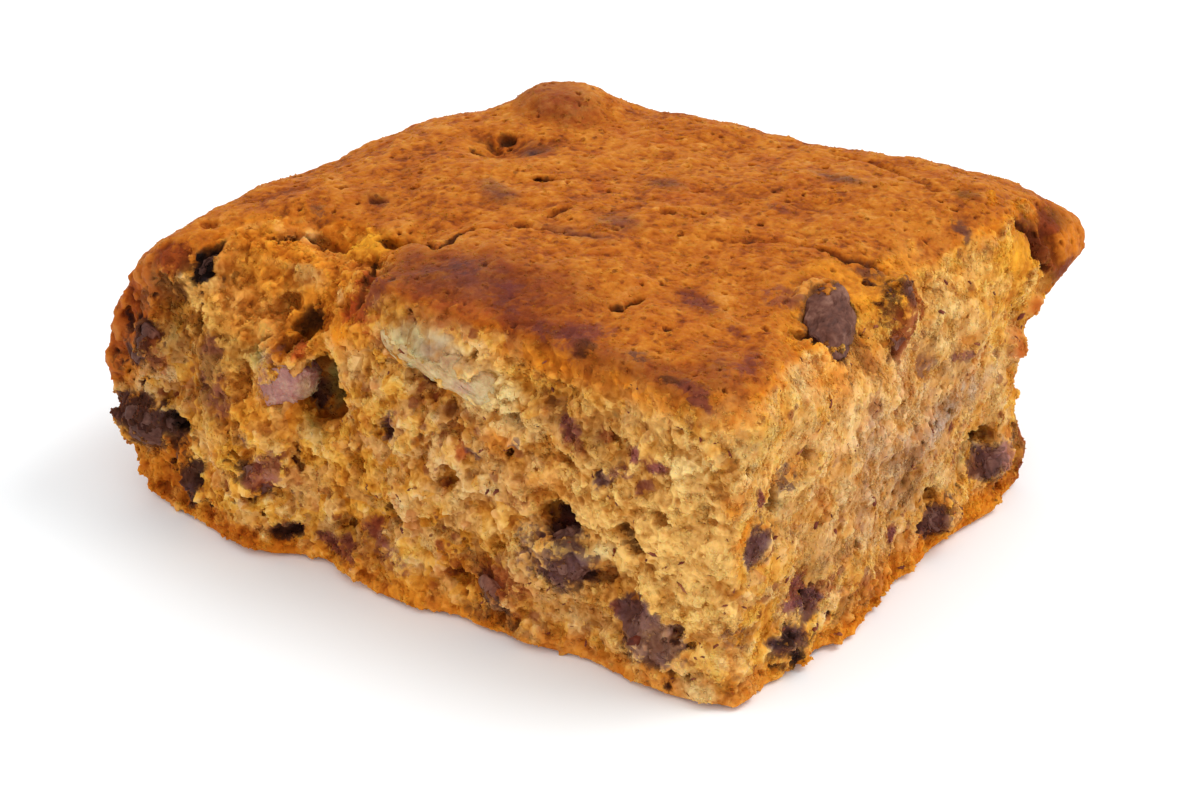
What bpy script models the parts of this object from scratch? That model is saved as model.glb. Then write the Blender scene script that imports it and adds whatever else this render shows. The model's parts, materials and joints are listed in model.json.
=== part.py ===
"""Banana bread: a corner square of a tray-baked slab, with fruit and chocolate showing at its two cuts.

Lengths are in millimetres until a mesh is finished. While it is shaped, the near bottom corner, where the
two cuts meet, is the origin: the front cut runs from it along -X, the right cut along +Y, and the left and
back sides are baked crust. At the end everything moves together, so that the origin lies under the middle.
"""

import math
from dataclasses import dataclass

import bmesh
import bpy
import numpy as np
from mathutils import Euler, Matrix, Vector, noise

MM = 0.001

# Driving dimensions of the square.
FRONT_CUT = 79.2  # near corner to the left crust, at the top
RIGHT_CUT = 67.9  # near corner to the back crust, at the top
HEIGHT = 37.2  # rest face to top crust
LEFT_SKEW = 8.5  # the left crust runs in towards the back
BACK_SKEW = 9.0  # the back crust runs in towards the left
BAKED_CORNER = 15.0  # plan radius where the two crust sides meet
BAKED_SHARE = 0.06  # the crust sides are eased over this share of the width
CELL = 2.25  # side of a mesh cell

# How far each crust side stands out from its top edge, against its share of the height.
LEFT_PROFILE = (
    (0.0, 4.8), (0.05, 6.7), (0.1, 8.2), (0.2, 9.4), (0.26, 9.5), (0.32, 11.0), (0.45, 11.9),
    (0.6, 11.0), (0.7, 9.3), (0.8, 7.0), (0.9, 4.2), (1.0, 0.2),
)
BACK_PROFILE = (
    (0.0, -5.4), (0.06, -3.6), (0.13, -2.6), (0.2, -4.8), (0.3, -6.2), (0.4, -7.3), (0.48, -8.0),
    (0.58, -5.4), (0.64, -4.0), (0.69, 0.6), (0.74, 5.4), (0.8, 7.6), (0.87, 7.3), (0.94, 5.2), (1.0, 0.8),
)
BACK_LIKE_LEFT = 0.8  # away from the right cut the back bulges like the left, by this share of it
LIP_RUN = 0.45  # share of the width over which its own profile gives way to that
LEFT_REACH, BACK_REACH = 5, 5  # the higher, the nearer to its side a profile's pull has died away
LIP_FLARE = 3.2  # the back crust's lip also spreads past the right cut by this
LIP_MIDDLE, LIP_SPREAD, LIP_REACH = 0.84, 0.3, 12  # shares of the height, and how close to the corner
# How far the foot of each cut stands out, against the distance from the near corner.
FRONT_FOOT = (
    (0.0, 0.5), (4.5, 1.8), (9.0, 2.6), (14.0, 2.0), (22.0, 1.4), (26.0, 2.4), (37.0, 2.2), (42.0, 3.5),
    (48.0, 2.8), (55.0, 1.2), (59.0, 0.9), (62.0, 3.2), (66.0, 4.8), (72.0, 3.2), (78.0, 1.6), (85.0, 0.0),
)
RIGHT_FOOT = ((0.0, 0.4), (12.0, 0.8), (21.0, 2.7), (31.0, 0.9), (42.0, 0.6), (58.0, 1.5), (66.0, 1.0))
FOOT_RISE = 0.7  # share of the foot's spread that is gone at the top
FOOT_REACH = 4
# How far the top edge of each cut has crumbled back, against the distance from the near corner.
FRONT_EDGE_WEAR = (
    (0.0, 2.2), (6.0, 0.8), (12.0, 0.5), (30.0, 0.6), (49.0, 1.2), (54.0, 4.6), (60.0, 6.6), (68.0, 6.2),
    (74.0, 3.6), (78.0, 1.6),
)
RIGHT_EDGE_WEAR = (
    (0.0, 2.2), (6.0, 1.6), (14.0, 2.2), (21.0, 4.4), (30.0, 5.2), (37.0, 3.2), (49.0, 3.0), (57.0, 1.4),
    (63.0, 3.2), (72.0, 4.6),
)
WEAR_SPREAD = 3.0  # the edge's wear dies away over this many times its depth
WEAR_BELOW = 1.8  # and down the cut over this many
WEAR_DROP = 0.4  # it lowers the edge by this share of its depth

# The top crust is a low dome that rises towards the far corner and rolls down over the baked sides.
DOME, FAR_RISE = 1.6, 0.9
LEFT_ROLL, LEFT_ROLL_WIDTH = 1.3, 9.0
BACK_ROLL, BACK_ROLL_WIDTH = 0.5, 6.0

# Relief: the size of its cells and how far it stands out.
LUMP_SIZE, LUMP_HEIGHT = 5.2, 1.3  # torn crumb on the cuts
UNDULATION_SIZE, UNDULATION_HEIGHT = 13.0, 0.8  # slower waves of the cuts
SWELL_SIZE, SWELL_HEIGHT = 17.0, 1.0  # slow waves of the top crust
BLISTER_SIZE, BLISTER_HEIGHT = 6.0, 0.45  # small bumps of all crust
REST_MARGIN, REST_LIFT = 2.5, 1.4  # the rest face is flat inside this border, which lifts by up to this

CHUNK_GAP = 0.35  # between a chunk and the bread round it
CHUNK_SEGMENTS, CHUNK_RINGS = 11, 7


@dataclass(frozen=True)
class Pit:
    """A hole in a cut or a hollow of the top: its place on that face, half sizes, tilt and depth."""

    face: str
    along: float
    up: float
    half_along: float
    half_up: float
    depth: float
    tilt: float = 0.0


@dataclass(frozen=True)
class Chunk:
    """A piece baked into the bread: its place on a face, how deep its middle lies, half sizes and turn.

    On the worn edge between the top and the right cut, up is the distance in from the near edge.
    """

    name: str
    face: str
    along: float
    up: float
    sink: float
    half: tuple
    turn: tuple = (0.0, 0.0, 0.0)
    material: str = "chocolate"


PITS = (
    Pit("front", 61.4, 31.2, 4.0, 3.0, 3.0, -35.0),
    Pit("front", 55.4, 22.8, 3.8, 3.4, 3.4, 20.0),
    Pit("front", 46.9, 9.9, 2.8, 2.8, 2.0),
    Pit("front", 17.0, 14.8, 3.4, 2.8, 2.4, 20.0),
    Pit("front", 24.5, 17.0, 3.4, 3.0, 2.0),
    Pit("front", 36.0, 3.6, 3.6, 2.4, 1.8),
    Pit("right", 54.0, 10.8, 3.4, 2.6, 2.0),
    Pit("right", 6.8, 23.2, 2.6, 3.6, 1.8, 15.0),
    Pit("right", 37.6, 29.4, 2.8, 3.4, 1.6),
    Pit("top", 60.3, 38.6, 6.0, 4.4, 1.8),
    Pit("top", 51.4, 30.5, 4.4, 3.0, 1.3),
    Pit("top", 23.0, 12.7, 2.4, 1.6, 1.2),
    Pit("top", 62.9, 56.5, 9.0, 7.0, -2.7),
    Pit("top", 40.0, 10.0, 12.0, 8.0, -0.9),
    Pit("top", 5.0, 60.0, 5.0, 4.0, -1.0),
)

# The break in the top crust, from the left end of the front cut inwards, as (x, y).
CRUST_BREAK = ((-66.0, 6.4), (-60.5, 7.4), (-54.5, 7.0), (-54.0, 11.0), (-51.0, 13.7), (-49.6, 18.4))
BREAK_DEPTH = 1.5
BREAK_HALF_WIDTH = 2.2

# Half sizes and turns are along X, Y and Z. A place is given along the cut from the near corner, and up.
CHUNKS = (
    Chunk("chocolate_top_edge", "edge", 25.4, 1.2, 1.1, (6.2, 3.1, 2.4), (0.0, 24.0, -62.0)),
    Chunk("chocolate_left_low", "front", 83.4, 10.6, 1.6, (4.8, 4.0, 3.0), (0.0, -6.0, 0.0)),
    Chunk("chocolate_left_mid", "front", 82.6, 20.6, 1.5, (2.2, 2.8, 4.1), (0.0, 22.0, 0.0)),
    Chunk("chocolate_left_top", "front", 74.0, 33.0, 1.3, (1.8, 2.8, 2.9), (0.0, 12.0, 0.0)),
    Chunk("chocolate_left_base", "front", 76.6, 5.6, 1.3, (1.6, 2.6, 4.0), (0.0, -24.0, 0.0)),
    Chunk("chocolate_front_left", "front", 65.2, 9.4, 1.1, (1.9, 1.9, 2.9), (0.0, 28.0, 0.0)),
    Chunk("chocolate_front_low", "front", 30.4, 5.6, 1.1, (2.8, 1.9, 1.4), (0.0, 14.0, 0.0)),
    Chunk("chocolate_front_middle", "front", 22.2, 12.2, 1.2, (3.1, 3.2, 4.2), (0.0, 14.0, 0.0)),
    Chunk("chocolate_front_base", "front", 10.2, 5.2, 1.3, (4.1, 2.6, 2.7), (0.0, 26.0, 0.0)),
    Chunk("chocolate_right_top", "right", 35.0, 34.0, 0.9, (1.9, 1.7, 3.9), (-16.0, 0.0, 0.0)),
    Chunk("chocolate_right_middle", "right", 5.6, 18.6, 0.9, (1.9, 1.5, 2.4), (30.0, 0.0, 0.0)),
    Chunk("chocolate_right_base", "right", 11.4, 3.8, 1.2, (2.2, 3.7, 2.0), (18.0, 0.0, 0.0)),
    Chunk("chocolate_right_low", "right", 42.4, 5.0, 1.1, (2.3, 2.5, 2.6)),
    Chunk("chocolate_right_far", "right", 55.4, 6.4, 1.1, (2.3, 3.7, 2.3)),
    Chunk("banana_front_hole", "front", 61.2, 24.2, 1.0, (3.6, 3.0, 4.2), (0.0, -10.0, 0.0), "banana"),
    Chunk("banana_front_slice", "front", 38.4, 30.6, 1.4, (8.8, 2.7, 2.5), (0.0, 17.0, 0.0), "banana"),
    Chunk("banana_right_slice", "right", 37.4, 16.6, 1.6, (2.5, 9.8, 2.0), (14.0, 0.0, 0.0), "banana"),
)
CHUNK_LUMP_SIZE, CHUNK_LUMP = 4.0, 0.3  # their own unevenness, as a share of the half sizes


def read_profile(profile, at):
    """The height of a profile, given as (place, height) pairs, at a place along it."""
    places, heights = zip(*profile)
    return float(np.interp(at, places, heights))


def fade(share):
    """1 at no distance, falling smoothly to 0 where the share of the reach is 1."""
    left = min(1.0, max(0.0, 1.0 - share))
    return left * left * (3.0 - 2.0 * left)


def wave(point, size, offset):
    """Smooth noise between about -1 and 1, with cells of the given size, one pattern for each offset."""
    return noise.noise(point / size + Vector((offset, 2.0 * offset, 3.0 * offset)))


def clumps(point, size, offset):
    """Rounded clumps with creases between them, from about -1 to 1."""
    shifted = point / size + Vector((offset, -offset, 2.0 * offset))
    return 1.0 - 2.0 * noise.voronoi(shifted)[0][0]


def distance_to_path(x, y, path):
    """Shortest distance in plan from a point to a run of straight pieces."""
    here = Vector((x, y))
    nearest = math.inf
    for start, end in zip(path, path[1:]):
        start, run = Vector(start), Vector(end) - Vector(start)
        share = min(1.0, max(0.0, (here - start).dot(run) / run.length_squared))
        nearest = min(nearest, (here - start - share * run).length)
    return nearest


def pit_depth(face, along, up):
    """How far all the pits of one face push it in at a place on it."""
    depth = 0.0
    for pit in PITS:
        if pit.face != face:
            continue
        turn = math.radians(pit.tilt)
        across, rise = along - pit.along, up - pit.up
        first = (across * math.cos(turn) + rise * math.sin(turn)) / pit.half_along
        second = (rise * math.cos(turn) - across * math.sin(turn)) / pit.half_up
        depth += pit.depth * fade(math.hypot(first, second) / 1.35)
    return depth


def top_height(u, v, x, y):
    """Height of the top crust at a place in plan."""
    point = Vector((x, y, 0.0))
    height = HEIGHT + SWELL_HEIGHT * wave(point, SWELL_SIZE, 0.4)
    height += DOME * math.sin(math.pi * u) * math.sin(math.pi * min(1.0, v + 0.1))
    height += FAR_RISE * v * u
    height -= LEFT_ROLL * fade(u * FRONT_CUT / LEFT_ROLL_WIDTH)
    height -= BACK_ROLL * fade((1.0 - v) * RIGHT_CUT / BACK_ROLL_WIDTH)
    height -= BREAK_DEPTH * fade(distance_to_path(x, y, CRUST_BREAK) / BREAK_HALF_WIDTH)
    return height - pit_depth("top", -x, y)


def plan_place(u, v):
    """Plan position of a place on the square, with its skewed crust sides and rounded baked corner."""
    left = -FRONT_CUT + LEFT_SKEW * v**2
    back = RIGHT_CUT - BACK_SKEW * (1.0 - u) ** 1.15
    x, y = left * (1.0 - u), back * v
    near_left = max(0.0, 1.0 + (left - x) / BAKED_CORNER)
    near_back = max(0.0, 1.0 + (y - back) / BAKED_CORNER)
    round_left = near_left * math.sqrt(1.0 - near_back**2 / 2.0)
    round_back = near_back * math.sqrt(1.0 - near_left**2 / 2.0)
    return x + BAKED_CORNER * (near_left - round_left), y - BAKED_CORNER * (near_back - round_back)


def crumble(place, wear, below):
    """How far an edge's wear moves a point in and down, by its distance in from the edge and below it."""
    inwards = fade(place / (WEAR_SPREAD * wear))
    return wear * inwards * fade(below / (WEAR_BELOW * wear)), WEAR_DROP * wear * inwards**2


def bread_point(u, v, w):
    """Where a point of the unit cube's skin lies on the bread: u to the right, v to the back, w up."""
    x, y = plan_place(u, v)
    top = top_height(u, v, x, y)
    z = w * top
    flat = Vector((x, y, z))
    # The crust sides stand out from the plan, and their pull dies away towards the middle.
    x -= read_profile(LEFT_PROFILE, w) * (1.0 - u) ** LEFT_REACH * (1.0 + 0.12 * wave(flat, 16.0, 2.2))
    lip = fade((1.0 - u) / LIP_RUN)
    bulge = BACK_LIKE_LEFT * read_profile(LEFT_PROFILE, w)
    back_pull = lip * read_profile(BACK_PROFILE, w) + (1.0 - lip) * bulge
    y += back_pull * v**BACK_REACH * (1.0 + 0.15 * wave(flat, 9.0, 1.3))
    x += LIP_FLARE * fade(abs(w - LIP_MIDDLE) / LIP_SPREAD) * (u * v) ** LIP_REACH
    foot = 1.0 - FOOT_RISE * w
    y -= read_profile(FRONT_FOOT, -x) * foot * (1.0 - v) ** FOOT_REACH
    x += read_profile(RIGHT_FOOT, flat.y) * foot * u**FOOT_REACH
    # The top edges of the cuts have crumbled back.
    below = top - z
    front_in, front_drop = crumble(y, read_profile(FRONT_EDGE_WEAR, -x), below)
    right_in, right_drop = crumble(-x, read_profile(RIGHT_EDGE_WEAR, y), below)
    y += front_in
    x -= right_in
    z -= (front_drop + right_drop) * w**4
    # Relief: crumb on the cuts, blisters on the crust, and a rest face that stays flat.
    lump = LUMP_HEIGHT * clumps(flat, LUMP_SIZE, 0.7) + UNDULATION_HEIGHT * wave(flat, UNDULATION_SIZE, 0.3)
    lump *= 1.0 - 0.6 * fade(z / REST_MARGIN)
    if v == 0.0:
        y -= lump - pit_depth("front", -flat.x, flat.z)
    if u == 1.0:
        x += lump - pit_depth("right", flat.y, flat.z)
    blister = BLISTER_HEIGHT * clumps(flat, BLISTER_SIZE, 1.9)
    if u == 0.0:
        x -= blister
    if v == 1.0:
        y += blister
    if w == 1.0:
        z += blister
    if w == 0.0:
        edge = min(v * RIGHT_CUT, (1.0 - u) * FRONT_CUT, u * FRONT_CUT, (1.0 - v) * RIGHT_CUT)
        z = REST_LIFT * fade(edge / REST_MARGIN) * abs(wave(flat, 7.0, 3.1))
    return Vector((x, y, z))


def face_point(chunk):
    """The place on the bread's skin where a chunk lies, found by halving the way along its face."""
    rise = min(1.0, chunk.up / HEIGHT)
    low, high = 0.0, 1.0
    for _ in range(20):
        share = (low + high) / 2.0
        if chunk.face == "front":
            place = bread_point(1.0 - share, 0.0, rise)
            reached = -place.x
        elif chunk.face == "right":
            place = bread_point(1.0, share, rise)
            reached = place.y
        else:
            place = bread_point(1.0 - chunk.up / FRONT_CUT, share, 1.0)
            reached = place.y
        low, high = (share, high) if reached < chunk.along else (low, share)
    return place


def chunk_middle(chunk):
    """The middle of a chunk, sunk below the skin that it shows in."""
    inwards = {"front": (0.0, 1.0, 0.0), "right": (-1.0, 0.0, 0.0), "edge": (-0.4, 0.0, -0.9)}[chunk.face]
    return face_point(chunk) + chunk.sink * Vector(inwards)


def block_grid():
    """A cube's skin cut into even cells, as a bmesh with corners at 0 and 1."""
    grid = bmesh.new()
    bmesh.ops.create_cube(grid, size=1.0, matrix=Matrix.Translation((0.5, 0.5, 0.5)))
    for axis, length in enumerate((FRONT_CUT, RIGHT_CUT, HEIGHT)):
        cells = round(length / CELL)
        for step in range(1, cells):
            place, normal = Vector(), Vector()
            place[axis], normal[axis] = step / cells, 1.0
            everything = grid.verts[:] + grid.edges[:] + grid.faces[:]
            bmesh.ops.bisect_plane(grid, geom=everything, plane_co=place, plane_no=normal, dist=1e-6)
    return grid


def snap(value):
    """A cube coordinate with the rounding of its corners taken off."""
    return 0.0 if value < 1e-5 else 1.0 if value > 1.0 - 1e-5 else value


def shape_bread():
    """The bread's mesh: the cube's skin moved into shape, its baked edges eased and its base dissolved."""
    bread = block_grid()
    baked = []
    for vertex in bread.verts:
        u, v, w = (snap(c) for c in vertex.co)
        if w > 0.0 and (u < BAKED_SHARE or v > 1.0 - BAKED_SHARE):
            baked.append(vertex)
        vertex.co = bread_point(u, v, w)
    for _ in range(2):
        bmesh.ops.smooth_vert(
            bread, verts=baked, factor=0.35, use_axis_x=True, use_axis_y=True, use_axis_z=True
        )
    resting = [f for f in bread.faces if all(abs(v.co.z) < 1e-6 for v in f.verts)]
    bmesh.ops.dissolve_faces(bread, faces=resting, use_verts=True)
    bmesh.ops.triangulate(bread, faces=bread.faces[:])
    bmesh.ops.recalc_face_normals(bread, faces=bread.faces[:])
    return bread


def shape_chunk(chunk, grow=0.0):
    """An uneven lens of a chunk, in place, pushed out all over by grow."""
    lens = bmesh.new()
    bmesh.ops.create_uvsphere(lens, u_segments=CHUNK_SEGMENTS, v_segments=CHUNK_RINGS, radius=1.0)
    turn = Euler([math.radians(a) for a in chunk.turn]).to_matrix()
    middle, half = chunk_middle(chunk), Vector(chunk.half)
    for vertex in lens.verts:
        local = vertex.co.copy()
        size = 1.0 + CHUNK_LUMP * wave(middle + local * 3.0, CHUNK_LUMP_SIZE, 0.9)
        vertex.co = middle + turn @ (local * half * size)
    lens.normal_update()
    outwards = [v.normal.copy() for v in lens.verts]
    for vertex, normal in zip(lens.verts, outwards):
        vertex.co += normal * grow
    return lens


def add_object(name, shape, material, shift):
    """Makes a named object of a bmesh in millimetres, moved by shift and brought to metres."""
    bmesh.ops.transform(shape, matrix=Matrix.Scale(MM, 4) @ Matrix.Translation(shift), verts=shape.verts[:])
    mesh = bpy.data.meshes.new(name)
    shape.to_mesh(mesh)
    shape.free()
    mesh.shade_smooth()
    if material:
        mesh.materials.append(material)
    made = bpy.data.objects.new(name, mesh)
    bpy.context.scene.collection.objects.link(made)
    return made


def make_material(name, colour, roughness):
    """A plain Principled material."""
    material = bpy.data.materials.new(name)
    material.use_nodes = True
    shader = material.node_tree.nodes["Principled BSDF"]
    shader.inputs["Base Color"].default_value = (*colour, 1.0)
    shader.inputs["Roughness"].default_value = roughness
    shader.inputs["Metallic"].default_value = 0.0
    return material


def cut_pockets(bread, shift):
    """Cuts a pocket for each chunk out of the bread, a little larger than the chunk."""
    cutters = bpy.data.collections.new("pocket_cutters")
    bpy.context.scene.collection.children.link(cutters)
    for chunk in CHUNKS:
        cutter = add_object("pocket_" + chunk.name, shape_chunk(chunk, CHUNK_GAP), None, shift)
        bpy.context.scene.collection.objects.unlink(cutter)
        cutters.objects.link(cutter)
        cutter.hide_render = True
        cutter.display_type = "WIRE"
    pockets = bread.modifiers.new("pockets", "BOOLEAN")
    pockets.operation = "DIFFERENCE"
    pockets.operand_type = "COLLECTION"
    pockets.collection = cutters
    pockets.solver = "EXACT"


def origin_shift(shapes):
    """The move that brings the origin under the middle of everything."""
    corners = np.array([v.co[:] for shape in shapes for v in shape.verts])
    low, high = corners.min(axis=0), corners.max(axis=0)
    return Vector((-(low[0] + high[0]) / 2.0, -(low[1] + high[1]) / 2.0, -low[2]))


def main():
    """Builds the bread and the chunks baked into it."""
    for old in list(bpy.data.objects):
        bpy.data.objects.remove(old)
    finishes = {
        "crumb": make_material("bread_crumb", (0.60, 0.33, 0.10), 0.85),
        "chocolate": make_material("dark_chocolate", (0.06, 0.028, 0.025), 0.45),
        "banana": make_material("baked_banana", (0.50, 0.34, 0.20), 0.4),
    }
    bread = shape_bread()
    chunks = {chunk.name: (shape_chunk(chunk), chunk.material) for chunk in CHUNKS}
    shift = origin_shift([bread, *(shape for shape, _ in chunks.values())])
    for name, (shape, material) in chunks.items():
        add_object(name, shape, finishes[material], shift)
    cut_pockets(add_object("bread", bread, finishes["crumb"], shift), shift)


main()
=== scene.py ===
"""Looks of the banana bread: a corner square of a tray bake with two torn cuts, dressed around its frame.

Lengths are in millimetres and colours as seen on a screen, unless a name says otherwise. Places on the bread
are measured from its near bottom corner, where the two cuts meet: across a cut from that corner, and up.
"""

from __future__ import annotations

import json
import logging
import math
from dataclasses import dataclass, field
from enum import Enum
from functools import cached_property
from typing import Sequence

import bmesh
import bpy
import numpy as np
from mathutils import Euler, Matrix, Vector, noise
from mathutils.bvhtree import BVHTree

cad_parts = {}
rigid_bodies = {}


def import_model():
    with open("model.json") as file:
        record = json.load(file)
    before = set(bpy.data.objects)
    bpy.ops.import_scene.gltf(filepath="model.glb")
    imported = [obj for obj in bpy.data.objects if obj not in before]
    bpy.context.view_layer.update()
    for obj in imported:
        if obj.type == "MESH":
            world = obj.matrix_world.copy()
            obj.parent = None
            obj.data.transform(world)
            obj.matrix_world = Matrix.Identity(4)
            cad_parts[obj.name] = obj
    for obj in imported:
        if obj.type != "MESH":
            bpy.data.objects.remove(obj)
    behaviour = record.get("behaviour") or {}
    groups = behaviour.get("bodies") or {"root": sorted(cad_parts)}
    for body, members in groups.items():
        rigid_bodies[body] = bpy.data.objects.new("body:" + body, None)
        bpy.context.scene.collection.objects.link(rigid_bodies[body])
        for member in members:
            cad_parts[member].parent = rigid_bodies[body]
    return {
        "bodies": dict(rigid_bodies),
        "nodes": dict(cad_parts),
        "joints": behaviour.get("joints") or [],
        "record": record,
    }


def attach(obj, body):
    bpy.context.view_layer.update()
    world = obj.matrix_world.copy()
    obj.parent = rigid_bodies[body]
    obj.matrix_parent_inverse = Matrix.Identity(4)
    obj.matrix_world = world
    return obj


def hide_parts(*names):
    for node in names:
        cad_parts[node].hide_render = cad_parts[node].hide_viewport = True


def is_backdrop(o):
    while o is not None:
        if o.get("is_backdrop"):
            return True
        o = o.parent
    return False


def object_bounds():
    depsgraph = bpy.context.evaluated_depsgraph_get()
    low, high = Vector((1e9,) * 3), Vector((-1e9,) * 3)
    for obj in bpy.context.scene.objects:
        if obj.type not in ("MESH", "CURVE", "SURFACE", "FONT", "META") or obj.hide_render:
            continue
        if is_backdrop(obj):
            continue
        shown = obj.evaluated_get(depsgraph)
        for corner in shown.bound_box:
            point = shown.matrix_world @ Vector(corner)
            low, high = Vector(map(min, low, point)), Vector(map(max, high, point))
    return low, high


LOG = logging.getLogger("banana_bread")
MM = 0.001
BODY = "root"
NEAR_CORNER = np.array((43.82, -34.93, 0.0))
SEED = 20

# How far apart the seeds lie in the noise, and what turns a block's middle into its random height.
SWELL_SHIFT = 7.31
CELL_SHIFT = 3.17
HASH_DIRECTION = np.array((12.99, 78.23, 37.72))
HASH_SCALE = 437.585

Triple = tuple[float, float, float]
Rows = tuple[tuple[float, ...], ...]
MarkTable = dict["Tint", dict["Side", Rows]]


def linear(colour: str) -> tuple[float, float, float, float]:
    """Turns a screen colour such as "c87a2a" into the linear one that shaders take.

    Args:
        colour: Six hexadecimal digits.

    Returns:
        Red, green, blue and an alpha of 1.
    """
    parts = [int(colour[at : at + 2], 16) / 255.0 for at in (0, 2, 4)]
    return (*(p / 12.92 if p <= 0.04045 else ((p + 0.055) / 1.055) ** 2.4 for p in parts), 1.0)


def smooth_step(values: np.ndarray, low: float, high: float) -> np.ndarray:
    """Goes smoothly from 0 at low to 1 at high.

    Args:
        values: Any numbers.
        low: Where the result is still 0.
        high: Where the result reaches 1. It may be less than low.

    Returns:
        Numbers from 0 to 1.
    """
    share = np.clip((values - low) / (high - low), 0.0, 1.0)
    return share * share * (3.0 - 2.0 * share)


def swell(points: np.ndarray, size: float, seed: float) -> np.ndarray:
    """Smooth noise from about -1 to 1 at each point, with waves of the given size."""
    shifted = (points / size + seed * SWELL_SHIFT).tolist()
    return np.array([noise.noise(p) for p in shifted])


def clump(points: np.ndarray, size: float, seed: float) -> np.ndarray:
    """Rounded clumps, 1 at the middle of each and below 0 in the creases between them."""
    shifted = (points / size + seed * CELL_SHIFT).tolist()
    return 1.0 - 1.7 * np.array([noise.voronoi(p)[0][0] for p in shifted])


def blocks(points: np.ndarray, size: float, seed: float) -> np.ndarray:
    """Crumbly blocks of random height, from -1 to 1, with creases between them.

    Args:
        points: Places in millimetres.
        size: About how large the blocks are.
        seed: Gives another pattern.

    Returns:
        The height at each point.
    """
    found = [noise.voronoi(p) for p in (points / size + seed * CELL_SHIFT).tolist()]
    edge = np.array([distances[1] - distances[0] for distances, _ in found])
    hearts = np.array([tuple(middles[0]) for _, middles in found])
    level = np.sin(hearts @ HASH_DIRECTION) * HASH_SCALE
    return 1.3 * (level - np.floor(level)) - 0.6 - 0.5 * smooth_step(edge, 0.24, 0.0)


def warped(points: np.ndarray, size: float, amount: float, seed: float) -> np.ndarray:
    """The points, each moved by smooth noise, so that a pattern read there loses its regularity."""
    moves = [swell(points, size, seed + k) for k in range(3)]
    return points + amount * np.stack(moves, axis=-1)


class Side(Enum):
    """A face of the bread, with the direction that it looks in."""

    FRONT = (0.0, -1.0, 0.0)
    RIGHT = (1.0, 0.0, 0.0)
    TOP = (0.0, 0.0, 1.0)

    def flat(self, places: np.ndarray) -> tuple[np.ndarray, np.ndarray]:
        """Splits places into two coordinates on this face.

        Args:
            places: Rows of x, y and z from the near corner.

        Returns:
            The distance across from the near corner, and the height, or on the top the distance back.
        """
        x, y, z = places.T
        return {"FRONT": (-x, z), "RIGHT": (y, z), "TOP": (-x, y)}[self.name]


@dataclass
class Cloud:
    """The vertices of a mesh that is being shaped, measured from the near corner."""

    places: np.ndarray
    normals: np.ndarray

    @cached_property
    def wobble(self) -> np.ndarray:
        """The unevenness that every mark's outline shares."""
        return 0.6 * swell(self.places, 2.6, 1.0) + 0.5 * swell(self.places, 1.1, 2.0)

    @cached_property
    def fray(self) -> np.ndarray:
        """The finer unevenness of the cracks' edges."""
        return swell(self.places, 0.9, 46.0)

    @classmethod
    def read(cls, piece: bpy.types.Object) -> Cloud:
        """Reads the vertices and their outward directions from a piece.

        Args:
            piece: The piece.

        Returns:
            Its cloud.
        """
        count = len(piece.data.vertices)
        places, normals = np.empty(count * 3, np.float32), np.empty(count * 3, np.float32)
        piece.data.vertices.foreach_get("co", places)
        piece.data.vertex_normals.foreach_get("vector", normals)
        places = places.reshape(-1, 3).astype(float) / MM - NEAR_CORNER
        return cls(places, normals.reshape(-1, 3).astype(float))

    def write(self, piece: bpy.types.Object) -> None:
        """Puts the places back into the piece's mesh.

        Args:
            piece: The piece that they were read from.
        """
        metres = (self.places + NEAR_CORNER) * MM
        piece.data.vertices.foreach_set("co", metres.astype(np.float32).ravel())
        piece.data.update()

    def facing(self, side: Side) -> np.ndarray:
        """How far each vertex looks the way of a face, from 0 to 1."""
        return smooth_step(self.normals @ np.array(side.value), 0.1, 0.5)


@dataclass(frozen=True)
class Mark:
    """An uneven oval on a face: its middle, half sizes, turn in degrees and how much of its effect it has."""

    side: Side
    across: float
    up: float
    half_across: float
    half_up: float
    amount: float = 1.0
    turn: float = 0.0

    def share(self, cloud: Cloud, ragged: float = 0.3, soft: float = 0.5) -> np.ndarray:
        """How much of the mark each vertex has.

        Args:
            cloud: The vertices.
            ragged: How uneven the outline is, as a share of the half sizes.
            soft: The share of the radius over which the mark fades out.

        Returns:
            Numbers from 0, outside, to 1.
        """
        across, up = self.side.flat(cloud.places)
        turn = math.radians(self.turn)
        across, up = across - self.across, up - self.up
        first = (across * math.cos(turn) + up * math.sin(turn)) / self.half_across
        second = (up * math.cos(turn) - across * math.sin(turn)) / self.half_up
        reach = np.hypot(first, second) + ragged * cloud.wobble
        return smooth_step(reach, 1.0 + soft / 2.0, 1.0 - soft / 2.0) * cloud.facing(self.side)


def marks(side: Side, *rows: tuple[float, ...]) -> tuple[Mark, ...]:
    """Several marks on one face, each given by a row of its other values."""
    return tuple(Mark(side, *row) for row in rows)


@dataclass(frozen=True)
class Crease:
    """A crack or fold on a face: points across and up that it runs through, half width, depth and unevenness."""

    side: Side
    points: tuple[tuple[float, float], ...]
    width: float
    depth: float
    wander: float = 0.6
    fraying: float = 0.3

    def share(self, cloud: Cloud) -> np.ndarray:
        """How deep in the crease each vertex is.

        Args:
            cloud: The vertices.

        Returns:
            Numbers from 0, outside, to 1 along its middle.
        """
        places = np.stack(self.side.flat(cloud.places), axis=-1)
        places += self.wander * cloud.wobble[:, None]
        nearest = np.full(len(places), 1e9)
        for start, end in zip(self.points, self.points[1:]):
            start, run = np.array(start), np.array(end) - np.array(start)
            along = np.clip((places - start) @ run / (run @ run), 0.0, 1.0)
            nearest = np.minimum(nearest, np.linalg.norm(places - start - along[:, None] * run, axis=1))
        nearest += self.fraying * cloud.fray
        return smooth_step(nearest, self.width, 0.0) * cloud.facing(self.side)


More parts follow.
